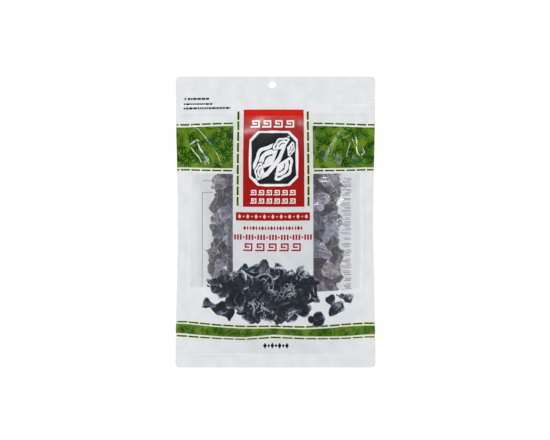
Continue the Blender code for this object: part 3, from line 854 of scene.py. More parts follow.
# Each fold or bundle of folds: its path in the photograph's pixels along the middle of its steep flank, the
# lamp that the flank mirrors to the camera, the flank's width, the number of folds side by side, and their
# share of the slope that mirrors best. A wide flank flashes white, and a bundle of narrow ones shimmers.
FOLDS = {
    "left long": (
        [(186.7, 118.8), (192, 124.5), (196.4, 127.7), (203.3, 134.6), (208.5, 141.4), (213.4, 147.9),
         (216.9, 153.2)],
        "right_flash", 0.0010, 1, 0.99),
    "left long tail": (
        [(209.5, 142.6), (213.4, 147.9), (217.8, 155.2), (220.7, 163.2), (221.5, 166.5)],
        "left_low_flash", 0.0008, 1, 0.97),
    "left tongue head": (
        [(189.3, 144.9), (193.2, 142.6), (196.9, 139.4)],
        "left_flash", 0.0024, 1, 1.0),
    "left tongue edge": (
        [(196.2, 139), (198.4, 144.7), (200.3, 149.6), (203.2, 152.9), (206.1, 156.4), (208.5, 160.8),
         (209.6, 165.6)],
        "left_low_flash", 0.0030, 1, 1.0),
    "left tongue side": (
        [(190, 145.6), (192, 149.2), (195.4, 153.2), (199.7, 158.4), (202.5, 164.8)],
        "left_low_flash", 0.0020, 1, 1.0),
    "left tongue middle": (
        [(201.3, 152.5), (204.7, 158.8), (207.5, 166)],
        "left_low_flash", 0.0005, 4, 1.0),
    "left short": (
        [(201.5, 144.7), (206.9, 151.9)],
        "right_flash", 0.0006, 1, 0.95),
    "right long": (
        [(341.2, 127.9), (337.6, 136), (334, 141.3), (329.5, 148.5), (326, 155.7), (322.8, 165.6)],
        "left_flash", 0.0005, 3, 1.0),
    "right branch": (
        [(337.6, 138.6), (345.7, 137.3), (351, 134.2), (358.3, 129.7)],
        "right_flash", 0.0007, 1, 0.95),
    "right hook head": (
        [(355.2, 134.6), (356.5, 140), (357, 145.5)],
        "right_low_flash", 0.0022, 1, 1.0),
    "right hook step": (
        [(352.2, 138.6), (353.6, 142), (355.2, 145.5)],
        "right_low_flash", 0.0017, 1, 1.0),
    "right hook side": (
        [(350.4, 140.8), (348.6, 147.5), (347.3, 153.1), (346.1, 158.9)],
        "right_low_flash", 0.0009, 1, 1.0),
    "right hook bend": (
        [(356.2, 145.6), (357, 151.5), (358.4, 154.6), (360, 155.8)],
        "right_low_flash", 0.0022, 1, 1.0),
    "right hook foot": (
        [(360.2, 156.6), (362.4, 154.3), (363.8, 151.4)],
        "left_flash", 0.0016, 1, 1.0),
    "right hook point": (
        [(364.1, 153), (363.9, 150.9), (362.9, 148.9)],
        "right_low_flash", 0.0017, 1, 1.0),
    "right shimmer": ([(339.5, 153.5), (337.5, 166)], "right_low_flash", 0.0005, 6, 1.0),
    "right low shimmer": ([(355, 152.5), (353.5, 161)], "right_low_flash", 0.0005, 4, 1.0),
    "window crest": (
        [(314.2, 183.4), (318.6, 180.4), (324, 179.4), (331, 180.2)],
        "right_flash", 0.0004, 4, 0.96),
    "window edge": (
        [(336.2, 184.8), (337.8, 188.4), (338.4, 191.5)],
        "right_flash", 0.0006, 2, 0.9),
    "high crease": ([(371.8, 114.9), (345.5, 121.9)], "right_flash", 0.0024, 1, 0.60),
    "foot crease": ([(184.5, 355.6), (217, 354.2), (249.8, 354.9)], "left_low_flash", 0.0012, 1, 0.50),
    "window streak": ([(335.1, 206.9), (342.9, 195.7)], "left_flash", 0.0010, 1, 0.98),
    "window streak below": ([(335.1, 221.1), (342, 217.4)], "right_flash", 0.0012, 1, 0.97),
    "glint above": ([(314.2, 205.4), (317.5, 202.3)], "left_flash", 0.0017, 1, 1.0),
    "glint below": ([(319.7, 245.2), (323.1, 241.9)], "left_flash", 0.0017, 1, 1.0),
    "left glint above": ([(217.4, 249.7), (220.1, 254.3)], "right_flash", 0.0018, 1, 1.0),
    "left glint below": ([(225.4, 266.2), (228.1, 270.8)], "right_flash", 0.0016, 1, 1.0),
}
BACK_WIDTHS = 1.6  # how many of the steep flank's widths the gentle back of a fold is wide
BUNDLE_PITCH = 0.0013
ROUNDING = 0.2  # how much of a flank each of its two bends takes
END_SHARE, END_TAPER, END_FADE = 0.02, 4, 12
STEEPEST = 1.6
SLOPE_STEP = 0.0005
FOLD_STEP = 0.0006
# Where a fold's points stand across it: from -1 to 0 on its back, from 0 to 1 on its flank.
FOLD_PLACES = (-1.1, -0.9, -0.5, -0.2, 0.0, 0.1, 0.2, 0.5, 0.8, 0.9, 1.0, 1.15)


def smooth_path(path):
    """A line through some points, with its corners cut to a smooth curve."""
    first, last = path[0], path[-1]
    for _ in range(3):
        cut = [(ax + (bx - ax) * t, ay + (by - ay) * t)
               for (ax, ay), (bx, by) in zip(path, path[1:]) for t in (0.25, 0.75)]
        path = [first, *cut, last]
    return path


def photo_place(across, down):
    """Where a pixel of the photograph lies on the filled front film, in plan."""
    x = y = rise = 0.0
    for _ in range(8):
        scale = VIEW_WIDTH / PHOTO_WIDTH * (EYE_HEIGHT - rise) / EYE_HEIGHT
        x = VIEW_CENTRE[0] + (across - PHOTO_WIDTH / 2) * scale
        y = VIEW_CENTRE[1] + (PHOTO_HEIGHT / 2 - down) * scale
        rise = CROWN * float(fullness(x, y))
    return x, y


def shown_rise(x, y, lean):
    """The angle over the floor at which the camera looks off the front film, which leans by so much more
    than the filled dome does, and where that is."""
    across = float(fullness(x + SLOPE_STEP, y) - fullness(x - SLOPE_STEP, y))
    along = float(fullness(x, y + SLOPE_STEP) - fullness(x, y - SLOPE_STEP))
    slope = Vector((across, along)) * (CROWN / (2 * SLOPE_STEP))
    place = Vector((x, y, SEAL_Z + CROWN * float(fullness(x, y))))
    normal = Vector((lean.x - slope.x, lean.y - slope.y, 1)).normalized()
    seen = (camera.location - place).normalized()
    return math.asin((2 * normal.dot(seen) * normal - seen).z), place


def mirror_slope(x, y, aside, word):
    """How much a flank that looks aside must lean there to show that lamp to the camera."""
    low, high = 0.0, STEEPEST
    for _ in range(24):
        lean = (low + high) / 2
        rise, place = shown_rise(x, y, lean * aside)
        wanted = lamp_place(word) - place
        if rise > math.asin(wanted.z / wanted.length):
            low = lean
        else:
            high = lean
    return low


def made_folds(path, word, flank, count, share):
    """Each fold of a bundle: its smooth line in plan, its flank's width, its slopes along the line, its
    back's width and the side that the flank looks to."""
    path = smooth_path([photo_place(*pixel) for pixel in path])
    left = Vector((path[0][1] - path[-1][1], path[-1][0] - path[0][0])).normalized()
    side = 1 if left.dot(lamp_place(word).xy) > 0 else -1
    slopes = []
    for (ax, ay), (bx, by) in zip(path, path[1:]):
        aside = side * Vector((ay - by, bx - ax)).normalized()
        slopes.append(share * mirror_slope((ax + bx) / 2, (ay + by) / 2, aside, word))
    lengths = np.array([math.dist(a, b) for a, b in zip(path, path[1:])])
    middles = (np.cumsum(lengths) - lengths / 2) / lengths.sum()
    made = []
    for k in range(count):
        shift = (k - (count - 1) / 2) * BUNDLE_PITCH * left
        line = [(x + shift.x, y + shift.y) for x, y in path]
        made.append((line, flank, (middles, slopes), flank * BACK_WIDTHS, side))
    return made


CURVED_FOLDS = [fold for bundle in FOLDS.values() for fold in made_folds(*bundle)]


def crest_rise(t):
    """From 0 to 1 with an even slope between two rounded bends."""
    t = np.clip(t, 0, 1)
    foot = t * t / (2 * ROUNDING)
    top = 1 - ROUNDING - (1 - t) ** 2 / (2 * ROUNDING)
    return np.where(t < ROUNDING, foot, np.where(t > 1 - ROUNDING, top, t - ROUNDING / 2)) / (1 - ROUNDING)


def fold_place(x, y, path):
    """How far points lie to the left of a path, and how far along it from 0 to 1."""
    nearest = np.full(len(x), 1e9)
    aside = np.zeros(len(x))
    along = np.zeros(len(x))
    lengths = [math.dist(a, b) for a, b in zip(path, path[1:])]
    gone = 0.0
    for (ax, ay), (bx, by), length in zip(path, path[1:], lengths):
        t = np.clip(((x - ax) * (bx - ax) + (y - ay) * (by - ay)) / length**2, 0, 1)
        away = np.hypot(x - ax - t * (bx - ax), y - ay - t * (by - ay))
        left = np.sign((bx - ax) * (y - ay) - (by - ay) * (x - ax))
        closer = away < nearest
        nearest = np.where(closer, away, nearest)
        aside = np.where(closer, away * left, aside)
        along = np.where(closer, (gone + t * length) / sum(lengths), along)
        gone += length
    return aside, along


def fold_share(along):
    """How wide a fold is at a place along it, beside its whole width: it narrows at both ends."""
    return np.sqrt(np.clip(np.minimum(along, 1 - along) * END_TAPER, END_SHARE, 1))


def fold_rise(x, y):
    """The rise of all the folds."""
    rise = np.zeros(len(x))
    for path, flank, slopes, back, side in CURVED_FOLDS:
        margin = flank + back
        xs, ys = zip(*path)
        near = (x > min(xs) - margin) & (x < max(xs) + margin)
        near &= (y > min(ys) - margin) & (y < max(ys) + margin)
        if not near.any():
            continue
        aside, along = fold_place(x[near], y[near], path)
        share = fold_share(along)
        down = side * aside + flank * share / 2
        edge = np.where(down > 0, 1 - down / (flank * share), 1 + down / (back * share))
        slope = np.interp(along, *slopes)
        fading = np.clip(np.minimum(along, 1 - along) * END_FADE, 0, 1)
        rise[near] += slope * flank * (1 - ROUNDING) * share * crest_rise(edge) * fading
    return rise


FOOT_BAND_LOW, FOOT_BAND_HIGH = -0.1223, -0.1125
FLAT_KNOTS = (-0.160, -0.122, -0.112, 0.060, 0.106, 0.122, 0.160)
BOW_KNOTS = (0.0, -0.0020, -0.0024, -0.0026, 0.0017, 0.0010, 0.0)  # how the filling bows the print there
SWAY_ACROSS = (-0.108, -0.091, -0.060, -0.035, -0.002, 0.031, 0.057, 0.075, 0.108)
SWAY_HIGH = (0.0008, 0.0003, -0.0009, -0.0013, -0.0004, -0.0021, -0.0018, -0.0010, -0.0016)
SWAY_LOW = (0.0003, -0.0008, -0.0018, -0.0019, 0.0020, -0.0006, -0.0018, -0.0023, -0.0016)
SWAY_AT, SWAY_REACH = -0.117, 0.013  # the foot band waves with the folds over the foot seal
DOME_EASE = 5
SWELL, SWELL_SIZE, SWELL_SEED = 0.00045, 0.026, 7
DIMPLE, DIMPLE_SIZE, DIMPLE_SEED = 0.00010, 0.010, 8
FOOT_WAVE, FOOT_WAVE_SIZE, FOOT_WAVE_SEED = 0.00040, 0.021, 12
FOOT_WAVE_STRETCH = 0.6
FOOT_WAVE_HIGH, FOOT_WAVE_EASE = -0.130, 0.012


def front_place(u, v):
    """Where a point of the flat front film's outside lies."""
    across = np.clip(1 - (np.abs(u) / POCKET_HALF) ** 2, 0, 1)
    mix = np.clip((v - FOOT_BAND_LOW) / (FOOT_BAND_HIGH - FOOT_BAND_LOW), 0, 1)
    sway = np.interp(u, SWAY_ACROSS, SWAY_LOW) * (1 - mix) + np.interp(u, SWAY_ACROSS, SWAY_HIGH) * mix
    near_foot = np.exp(-(((v - SWAY_AT) / SWAY_REACH) ** 2))
    x = drawn_in(u, v)
    y = v + np.interp(v, FLAT_KNOTS, BOW_KNOTS) * across + sway * near_foot
    full = fullness(x, y)
    rise = np.maximum(CROWN * full, zip_relief(x, y))
    swell = SWELL * waves(x, y, SWELL_SIZE, SWELL_SEED) + DIMPLE * waves(x, y, DIMPLE_SIZE, DIMPLE_SEED)
    rise += np.clip(full * DOME_EASE, 0, 1) * swell
    foot_wave = 1 + waves(x, y * FOOT_WAVE_STRETCH, FOOT_WAVE_SIZE, FOOT_WAVE_SEED)
    rise += FOOT_WAVE * foot_wave * np.clip((FOOT_WAVE_HIGH - y) / FOOT_WAVE_EASE, 0, 1)
    rise += fold_rise(x, y)
    return x, y, SEAL_Z + LAMINATE * 1.5 + rise


def fold_points():
    """Rows of points along every fold, close together across its bends, so that the mesh follows it."""
    made = []
    for path, flank, _, back, side in CURVED_FOLDS:
        xs, ys = (np.array(values) for values in zip(*path))
        gone = np.concatenate([[0.0], np.cumsum(np.hypot(np.diff(xs), np.diff(ys)))])
        stops = np.arange(FOLD_STEP / 2, gone[-1], FOLD_STEP)
        share = fold_share(stops / gone[-1])
        x, y = np.interp(stops, gone, xs), np.interp(stops, gone, ys)
        ahead_x, ahead_y = np.gradient(x), np.gradient(y)
        length = np.hypot(ahead_x, ahead_y)
        for place in FOLD_PLACES:
            aside = side * share * (place * (flank if place > 0 else back) - flank / 2)
            made.append(np.stack([x - ahead_y / length * aside, y + ahead_x / length * aside], 1))
    places = np.concatenate(made)
    flat = places.copy()
    for _ in range(4):
        x, y, _ = front_place(flat[:, 0], flat[:, 1])
        flat += places - np.stack([x, y], 1)
    return flat


# ---------------------------------------------------------------- the print of the front film
# The white film is printed under its gloss with two bands of bamboo leaves edged by jointed canes, and left
# clear in two windows. Each shape of print is cut into the film's own mesh, and a later ink covers a former.
WHITE, GREEN, LEAF, TEAL, DASH, PALE, RED, BRIGHT, DARK_RED, BLACK, CLEAR, PILE, PLAIN, INSIDE = range(14)
STRIP = (-0.0459, 0.0406)  # the white strip between the windows
WINDOW_SIDES = (-0.0974, 0.0974)
WINDOW_LOWS = (-0.0706, -0.0731)
WINDOW_HIGH = 0.0540
PRINT_SIDE = HALF_WIDTH - 0.0001
DASH_SIDE = PRINT_SIDE - 0.0004
LEAF_HALF = ((0.0, 0.0), (0.25, 0.85), (0.55, 0.8), (1.0, 0.0))  # along a leaf, and its half width there
LEAF_FAN = 0.58  # the turn between two leaves of a tuft
LEAF_WIDTH, LEAF_FOOT, LEAF_LENGTH = 0.20, 0.10, (0.7, 1.2)  # beside the tuft's size
LEAF_STRAY = 0.15
LEAF_COUNTS = (3, 4, 5)
LEAST_AREA = 4e-7
BAND_LOW, BAND_HIGH = 0.0600, 0.1040
STEMS, STEM_WIDTH, STEM_LENGTH, STEM_LEAN = 5, 0.0006, (0.018, 0.034), 0.4
STEM_HEAD = 0.02  # how far below the band's top a stem starts at least
TUFT_TURNS, TUFT_SWAY, TUFT_STRAY = (1.6, -1.6), 1.0, 0.35
TUFT_ROWS, TUFT_COLUMNS, TUFT_SIZE = 5, 7, 0.0090
FOOT_TUFTS, FOOT_TUFT_SIZE, FOOT_TUFT_RISE = 17, 0.0060, 0.0010
BAND_DASHES = (0.1068, 0.0574)
FOOT_DASHES = (-0.1102, -0.1252)
CANES, CANE_LOW, CANE_HIGH = (-0.0407, 0.0354), 0.0186, 0.1213
BAND_DASH = (0.0121, 0.0019, 0.0017)  # from one dash to the next, the gap between them, and their height
FOOT_DASH = (0.0129, 0.0017, 0.0016)
CANE_DASH = (0.0114, 0.0017, 0.0022)
DASH_HALO, CANE_HALO = 0.0005, 0.0006
SHORTEST_DASH = 0.001


def leaf_shape(x, y, turn, length, width):
    """A leaf: pointed at both ends and widest a little before its middle."""
    c, s = math.cos(turn), math.sin(turn)
    edge = [(t * length, w * width / 2) for t, w in LEAF_HALF]
    edge += [(t * length, -w * width / 2) for t, w in LEAF_HALF[-2:0:-1]]
    return [(x + c * a - s * b, y + s * a + c * b) for a, b in edge][::-1]


def printed_in(shape, field, ink):
    """A shape, pressed inside a printed field, or nothing if none of it lies there."""
    x0, y0, x1, y1 = field
    kept = [(min(max(x, x0), x1), min(max(y, y0), y1)) for x, y in shape]
    area = sum(ax * by - bx * ay for (ax, ay), (bx, by) in zip(kept, kept[1:] + kept[:1]))
    return [(kept, ink)] if abs(area) > LEAST_AREA else []


def tuft(x, y, turn, size, field, ink):
    """A tuft of bamboo leaves, which fans out from one knot."""
    made = []
    count = leaf_rng.choice(LEAF_COUNTS)
    for k in range(count):
        lean = turn + (k - (count - 1) / 2) * LEAF_FAN + leaf_rng.uniform(-LEAF_STRAY, LEAF_STRAY)
        foot_x = x + size * LEAF_FOOT * math.cos(lean)
        foot_y = y + size * LEAF_FOOT * math.sin(lean)
        leaf = leaf_shape(foot_x, foot_y, lean, size * leaf_rng.uniform(*LEAF_LENGTH), size * LEAF_WIDTH)
        made += printed_in(leaf, field, ink)
    return made


def dash_row(x0, x1, y, pitch, gap, height):
    """A row of bamboo joints along a band's edge, dealt from the strip's side to the film's cut edge."""
    made = []
    count = math.ceil((x1 - x0) / pitch)
    for k in range(count):
        near, far = k * pitch + gap / 2, (k + 1) * pitch - gap / 2
        a, b = (x1 - far, x1 - near) if x1 < HALF_WIDTH / 2 else (x0 + near, x0 + far)
        a, b = max(a, x0), min(b, x1)
        if b - a > SHORTEST_DASH:
            made.append((box_shape(a, y - height / 2, b, y + height / 2), DASH))
    return made


def dash_column(x, y0, y1, pitch, gap, width):
    count = round((y1 - y0) / pitch)
    step = (y1 - y0) / count
    ends = [(y0 + k * step + gap / 2, y0 + (k + 1) * step - gap / 2) for k in range(count)]
    return [(box_shape(x - width / 2, low, x + width / 2, high), DASH) for low, high in ends]


def haloed(dashes, margin):
    """Dashes over a pale strip each, which shows all round them."""
    made = []
    for shape, _ in dashes:
        xs, ys = zip(*shape)
        made.append((box_shape(min(xs) - margin, min(ys) - margin, max(xs) + margin, max(ys) + margin), PALE))
    return made + dashes


leaf_rng = random.Random(41)
prints = []
for inner_x, outer_x, y0 in zip(STRIP, WINDOW_SIDES, WINDOW_LOWS):
    x0, x1 = sorted((inner_x, outer_x))
    prints.append((box_shape(x0, y0, x1, WINDOW_HIGH), CLEAR))
for x0, x1 in ((-PRINT_SIDE, STRIP[0]), (STRIP[1], PRINT_SIDE)):
    field = x0, BAND_LOW, x1, BAND_HIGH
    prints.append((box_shape(*field), GREEN))
    for k in range(STEMS):
        x = x0 + (k + leaf_rng.uniform(0.2, 0.8)) * (x1 - x0) / STEMS
        for _ in range(2):
            lean = leaf_rng.uniform(-STEM_LEAN, STEM_LEAN) + math.pi / 2
            reach = leaf_rng.uniform(*STEM_LENGTH)
            stem = leaf_shape(x, leaf_rng.uniform(BAND_LOW, BAND_HIGH - STEM_HEAD), lean, reach, STEM_WIDTH)
            prints += printed_in(stem, field, LEAF)
    for row in range(TUFT_ROWS):
        for column in range(TUFT_COLUMNS):
            x = x0 + (column + 0.5 + leaf_rng.uniform(-TUFT_STRAY, TUFT_STRAY)) * (x1 - x0) / TUFT_COLUMNS
            up = row + 0.5 + leaf_rng.uniform(-TUFT_STRAY, TUFT_STRAY)
            y = BAND_LOW + up * (BAND_HIGH - BAND_LOW) / TUFT_ROWS
            turn = leaf_rng.choice(TUFT_TURNS) + leaf_rng.uniform(-TUFT_SWAY, TUFT_SWAY)
            prints += tuft(x, y, turn, TUFT_SIZE, field, leaf_rng.choice((LEAF, LEAF, TEAL)))
field = -PRINT_SIDE, FOOT_BAND_LOW, PRINT_SIDE, FOOT_BAND_HIGH
prints.append((box_shape(*field), GREEN))
for k in range(FOOT_TUFTS):
    x = -HALF_WIDTH + (k + 0.5 + leaf_rng.uniform(-0.2, 0.2)) * 2 * HALF_WIDTH / FOOT_TUFTS
    y = (FOOT_BAND_LOW + FOOT_BAND_HIGH) / 2 + leaf_rng.uniform(-FOOT_TUFT_RISE, FOOT_TUFT_RISE)
    turn = leaf_rng.uniform(0, math.pi)
    prints += tuft(x, y, turn, FOOT_TUFT_SIZE, field, TEAL)
    prints += tuft(x, y, turn + math.pi, FOOT_TUFT_SIZE, field, TEAL)
for x0, x1 in ((-DASH_SIDE, STRIP[0]), (STRIP[1], DASH_SIDE)):
    for y in BAND_DASHES:
        prints += haloed(dash_row(x0, x1, y, *BAND_DASH), DASH_HALO)
for y in FOOT_DASHES:
    prints += haloed(dash_row(-DASH_SIDE, DASH_SIDE, y, *FOOT_DASH), DASH_HALO)
for x in CANES:
    prints += haloed(dash_column(x, CANE_LOW, CANE_HIGH, *CANE_DASH), CANE_HALO)

# The red panel holds three ears on a branch in a frame with cut corners, between rows of an old key
# pattern.
PANEL = (-0.0350, 0.0186, 0.0310, 0.1226)
PANEL_MIDDLE = (PANEL[0] + PANEL[2]) / 2
PANEL_FRETS = ((0.1018, 0.00165), (0.0312, 0.00110), (0.0222, 0.00110))  # a row's foot and line's width
FRET_MARGIN = 0.005
FRET_BARS = ((0, 0, 6, 1), (5, 1, 6, 5), (1, 4, 5, 5), (1, 2, 2, 4), (2, 2, 4, 3))  # in widths of its line
FRET_PITCH = 7.6
FRAME_Y, FRAME_HALF_WIDTH, FRAME_HALF_HEIGHT, FRAME_CUT = 0.0697, 0.0262, 0.0285, 0.009
FRAME_LINE = 0.0020
BRANCH = (
    (-0.0225, 0.0475), (-0.0205, 0.0450), (-0.0060, 0.0520), (0.0075, 0.0680),
    (0.0175, 0.0925), (0.0155, 0.0935), (0.0045, 0.0715), (-0.0080, 0.0565),
)
DRAWN_EARS = (  # where each ear is joined to the branch, its radius, and where it turns to
    (-0.0010, 0.0640, 0.0205, 2.35),
    (0.0040, 0.0640, 0.0165, -0.62),
    (-0.0100, 0.0560, 0.0105, 3.0),
    (0.0110, 0.0800, 0.0115, 2.1),
    (0.0145, 0.0810, 0.0085, -0.3),
)
DRAWN_RINGS = (  # an ear's outline, skin and two growth lines: radii, half the turn, waving, and ink
    (0, 1.08, 1.22, 0.05, BLACK),
    (0, 1.0, 1.15, 0.05, BRIGHT),
    (0.74, 0.82, 0.95, 0.05, BLACK),
    (0.44, 0.52, 0.75, 0.04, BLACK),
)
FAN_STEPS, FAN_WAVES = 14, 7


def key_fret(x0, x1, y, unit, ink):
    """One row of the old square key pattern: a bar that turns in on itself, again and again."""
    made = []
    pitch = unit * FRET_PITCH
    count = int((x1 - x0) / pitch)
    start = (x0 + x1 - count * pitch) / 2
    for k in range(count):
        x = start + k * pitch
        for ax, ay, bx, by in FRET_BARS:
            corners = ((ax, ay), (bx, ay), (bx, by), (ax, by))
            made.append(([(x + across * unit, y + along * unit) for across, along in corners], ink))
    return made


def cut_corner_frame(half_width, half_height):
    left, right = PANEL_MIDDLE - half_width, PANEL_MIDDLE + half_width
    low, high = FRAME_Y - half_height, FRAME_Y + half_height
    return [(left + FRAME_CUT, low), (right - FRAME_CUT, low), (right, low + FRAME_CUT),
            (right, high - FRAME_CUT), (right - FRAME_CUT, high), (left + FRAME_CUT, high),
            (left, high - FRAME_CUT), (left, low + FRAME_CUT)]


def fan(cx, cy, inner, outer, turn, half, waving):
    """A scalloped piece of a ring, or a whole fan where its inner radius is nothing."""
    turns = [turn + half * (2 * k / FAN_STEPS - 1) for k in range(FAN_STEPS + 1)]
    rim = []
    for t in turns:
        reach = outer * (1 + waving * math.cos(FAN_WAVES * (t - turn)))
        rim.append((cx + reach * math.cos(t), cy + reach * math.sin(t)))
    if inner == 0:
        return [(cx, cy), *rim]
    return rim + [(cx + inner * math.cos(t), cy + inner * math.sin(t)) for t in reversed(turns)]


prints.append((box_shape(*PANEL), RED))
for y, unit in PANEL_FRETS:
    prints += key_fret(PANEL[0] + FRET_MARGIN, PANEL[2] - FRET_MARGIN, y, unit, BRIGHT)
prints.append((cut_corner_frame(FRAME_HALF_WIDTH, FRAME_HALF_HEIGHT), BRIGHT))
prints.append((cut_corner_frame(FRAME_HALF_WIDTH - FRAME_LINE, FRAME_HALF_HEIGHT - FRAME_LINE), BLACK))
prints.append(([(PANEL_MIDDLE + x, y) for x, y in BRANCH], BRIGHT))
for x, y, radius, turn in DRAWN_EARS:
    for inner, outer, half, waving, ink in DRAWN_RINGS:
        prints.append((fan(PANEL_MIDDLE + x, y, radius * inner, radius * outer, turn, half, waving), ink))

# The bar and the three rows under it are ornament: lozenges, beads and a fret. Small black marks stand at the
# top left, where an arrow shows the tear notch, and in a row at the foot.
BAR = (-0.0426, 0.0038, 0.0370, 0.0127)
BAR_MARGIN, BAR_COUNT = 0.004, 17
BAR_LOZENGES = ((0.0017, 0.0025), (0.0009, 0.0011))  # half the width and height of every other one
LOZENGE_ROW = (-0.0330, 0.0607, 20)  # a row's start, how far it reaches, and how many marks it has
ROW_LOZENGES = ((0.0018, 0.0026), (0.0011, 0.0026), (0.0011, 0.0026))
LOZENGE_Y = -0.0041
BEAD_ROW = (-0.0435, 0.0815, 27)
BEAD_Y, BEAD_RADIUS, BEAD_SIDES = -0.0139, 0.0011, 10
BEAD_BAR_HALF, BEAD_BAR_LOW, BEAD_BAR_HIGH = 0.0010, -0.0167, -0.0110
LOW_FRET = (-0.0400, 0.0350, -0.0287, 0.0017)
TEAR_ARROW = ((-0.1010, 0.1352), (-0.0984, 0.1336), (-0.0984, 0.1368))
RULED_ROWS = ((-0.0966, 0.1352, 0.0236), (-0.1010, 0.1293, 0.0315), (-0.1010, 0.1246, 0.0515))
RULED_STEPS = (0.0018, 0.0027, 0.0040)
RULED_HALF, RULED_GAP = 0.0011, 0.0007
FOOT_ROW = (-0.0115, 0.0240, 7)
FOOT_ROW_Y = -0.1343
FOOT_LOZENGES = ((0.0021, 0.0036), (0.0015, 0.0024))


def lozenge(x, y, half_width, half_height):
    return [(x + half_width, y), (x, y + half_height), (x - half_width, y), (x, y - half_height)]


def row_places(start, reach, count):
    """The numbers and places of a row's marks."""
    return [(k, start + k * reach / (count - 1)) for k in range(count)]


prints.append((box_shape(*BAR), RED))
for k, x in row_places(BAR[0] + BAR_MARGIN, BAR[2] - BAR[0] - 2 * BAR_MARGIN, BAR_COUNT):
    prints.append((lozenge(x, (BAR[1] + BAR[3]) / 2, *BAR_LOZENGES[k % 2]), PLAIN))
for k, x in row_places(*LOZENGE_ROW):
    prints.append((lozenge(x, LOZENGE_Y, *ROW_LOZENGES[k % 3]), DARK_RED))
for k, x in row_places(*BEAD_ROW):
    left, right = x - BEAD_BAR_HALF, x + BEAD_BAR_HALF
    bar = [(left, BEAD_BAR_LOW), (right, BEAD_BAR_LOW), (right, BEAD_BAR_HIGH), (left, BEAD_BAR_HIGH)]
    prints.append((circle(x, BEAD_Y, BEAD_RADIUS, BEAD_SIDES) if k % 4 == 3 else bar, DARK_RED))
prints += key_fret(*LOW_FRET, DARK_RED)
prints.append((list(TEAR_ARROW), BLACK))
for x, y, reach in RULED_ROWS:
    stop = x + reach
    while x < stop:
        step = leaf_rng.choice(RULED_STEPS)
        prints.append((box_shape(x, y - RULED_HALF, min(x + step, stop), y + RULED_HALF), BLACK))
        x += step + RULED_GAP
for k, x in row_places(*FOOT_ROW):
    prints.append((lozenge(x, FOOT_ROW_Y, *FOOT_LOZENGES[k % 2]), BLACK))

# ---------------------------------------------------------------- the printed heap
# The print's large picture is a heap of dried ears with a few loose ones before it, on the white film. It
# is an artist's view, so it is built here as a small heap of its own, and inked as that heap is lit.
ART_LIFT = math.radians(30)  # how steeply the drawing looks down
ART_GROUND = -0.0880
ART_BACK = 0.3
ART_LIGHT = (-0.45, 0.35, 0.80)
HEAP_EDGE = (  # the heap's outline, in the photograph's pixels
    (207, 283), (216, 276), (232, 269), (246, 263.5), (270, 262.5), (290, 270),
    (306, 273), (319, 283), (323, 301), (308, 304), (306, 313), (290, 319),
    (268, 323), (252, 319), (240, 312), (233, 298), (216, 294),
)
HEAP_EARS = 160
HEAP_RADII = (0.0080, 0.0145)
HEAP_TILT = 1.3
HEAP_ROOM = 0.50  # how much of its radius an ear stays inside the outline
FRONT_DEPTH, BACK_DEPTH = -0.0270, 0.0200
DEPTH_SPREAD = 0.004
LOOSE_SLOPE = 0.4
LOOSE = (  # where the loose ears lie in the photograph, their sizes, how they tip and to where
    (330.5, 298, 0.0060, 0.9, 0.4),
    (343.5, 296.5, 0.0098, 0.3, 2.6),
    (347.5, 300.5, 0.0070, 0.5, 0.9),
    (336.0, 311.0, 0.0100, 0.3, 0.3),
    (311.5, 319.8, 0.0075, 0.9, 2.9),
    (319.5, 317.0, 0.0080, 0.9, 0.2),
    (207.5, 305.0, 0.0100, 0.3, 2.2),
    (221.5, 307.5, 0.0110, 0.4, 0.6),
    (233.0, 304.5, 0.0120, 0.6, 2.5),
    (213.5, 285.5, 0.0085, 0.8, 2.0),
    (228, 311.5, 0.0090, 0.8, 0.1),
)
ART_SPOKES, ART_RINGS = 30, (0.25, 0.45, 0.62, 0.78, 0.88, 0.94, 1.0)
CRUMPLES = ((0.38, 0.8), (0.05, 2.8))  # how deep and how fine the ears are crumpled, beside their radius
CRUMPLE_SEED = 6
SHADOW_STEP = 0.0006
SHADOW_LIGHT, SHADOW_SHEEN = 0.25, 0.1
SHEEN_POWER = 24
GRAINS = ((0.45, 260), (0.25, 900))
BODY_DARK, BODY_LIT, BODY_CURVE = 0.019, 0.105, 1.4
WEAR_LOW, WEAR_MIDDLE, WEAR_HIGH, WEAR_SPREAD, WEAR_FINENESS = 0.05, 0.32, 1.5, 2.6, 60
RIM_LIT, RIM_DARK, SHEEN_LIT = 0.60, 0.26, 0.30
RIM_AT, BRINK_AT, BRINK_SHARE = 0.95, 0.90, 0.35
BRIGHTEST = 0.66

noise.seed_set(CRUMPLE_SEED)
art_rng = random.Random(23)
art_verts = []
art_faces = []
art_near = []


def lay_ear(u, v, depth, radius, tilt, bearing=None):
    """Lays one crumpled ear where the drawing shows it at a place, tipped about a random bearing unless one
    is given."""
    verts, faces, near = ear_lobe(art_rng, radius, ART_SPOKES, ART_RINGS, 0)
    spin = Matrix.Rotation(art_rng.uniform(0, 2 * math.pi), 3, "Z")
    bearing = art_rng.uniform(0, 2 * math.pi) if bearing is None else bearing
    axis = Vector((math.cos(bearing), math.sin(bearing), 0))
    lean = Matrix.Rotation(art_rng.uniform(0.5, 1.0) * tilt, 3, axis)
    crumple = Vector((art_rng.uniform(0, 9), art_rng.uniform(0, 9), art_rng.uniform(0, 9)))
    place = Vector((u, depth, (v - ART_GROUND - depth * math.sin(ART_LIFT)) / math.cos(ART_LIFT)))
    start = len(art_verts)
    for p in verts:
        for share, fineness in CRUMPLES:
            p = p + share * radius * noise.noise_vector(p * fineness / radius + crumple)
        art_verts.append(lean @ (spin @ p) + place)
    art_faces.extend(tuple(start + k for k in face) for face in faces)
    art_near.extend(near)


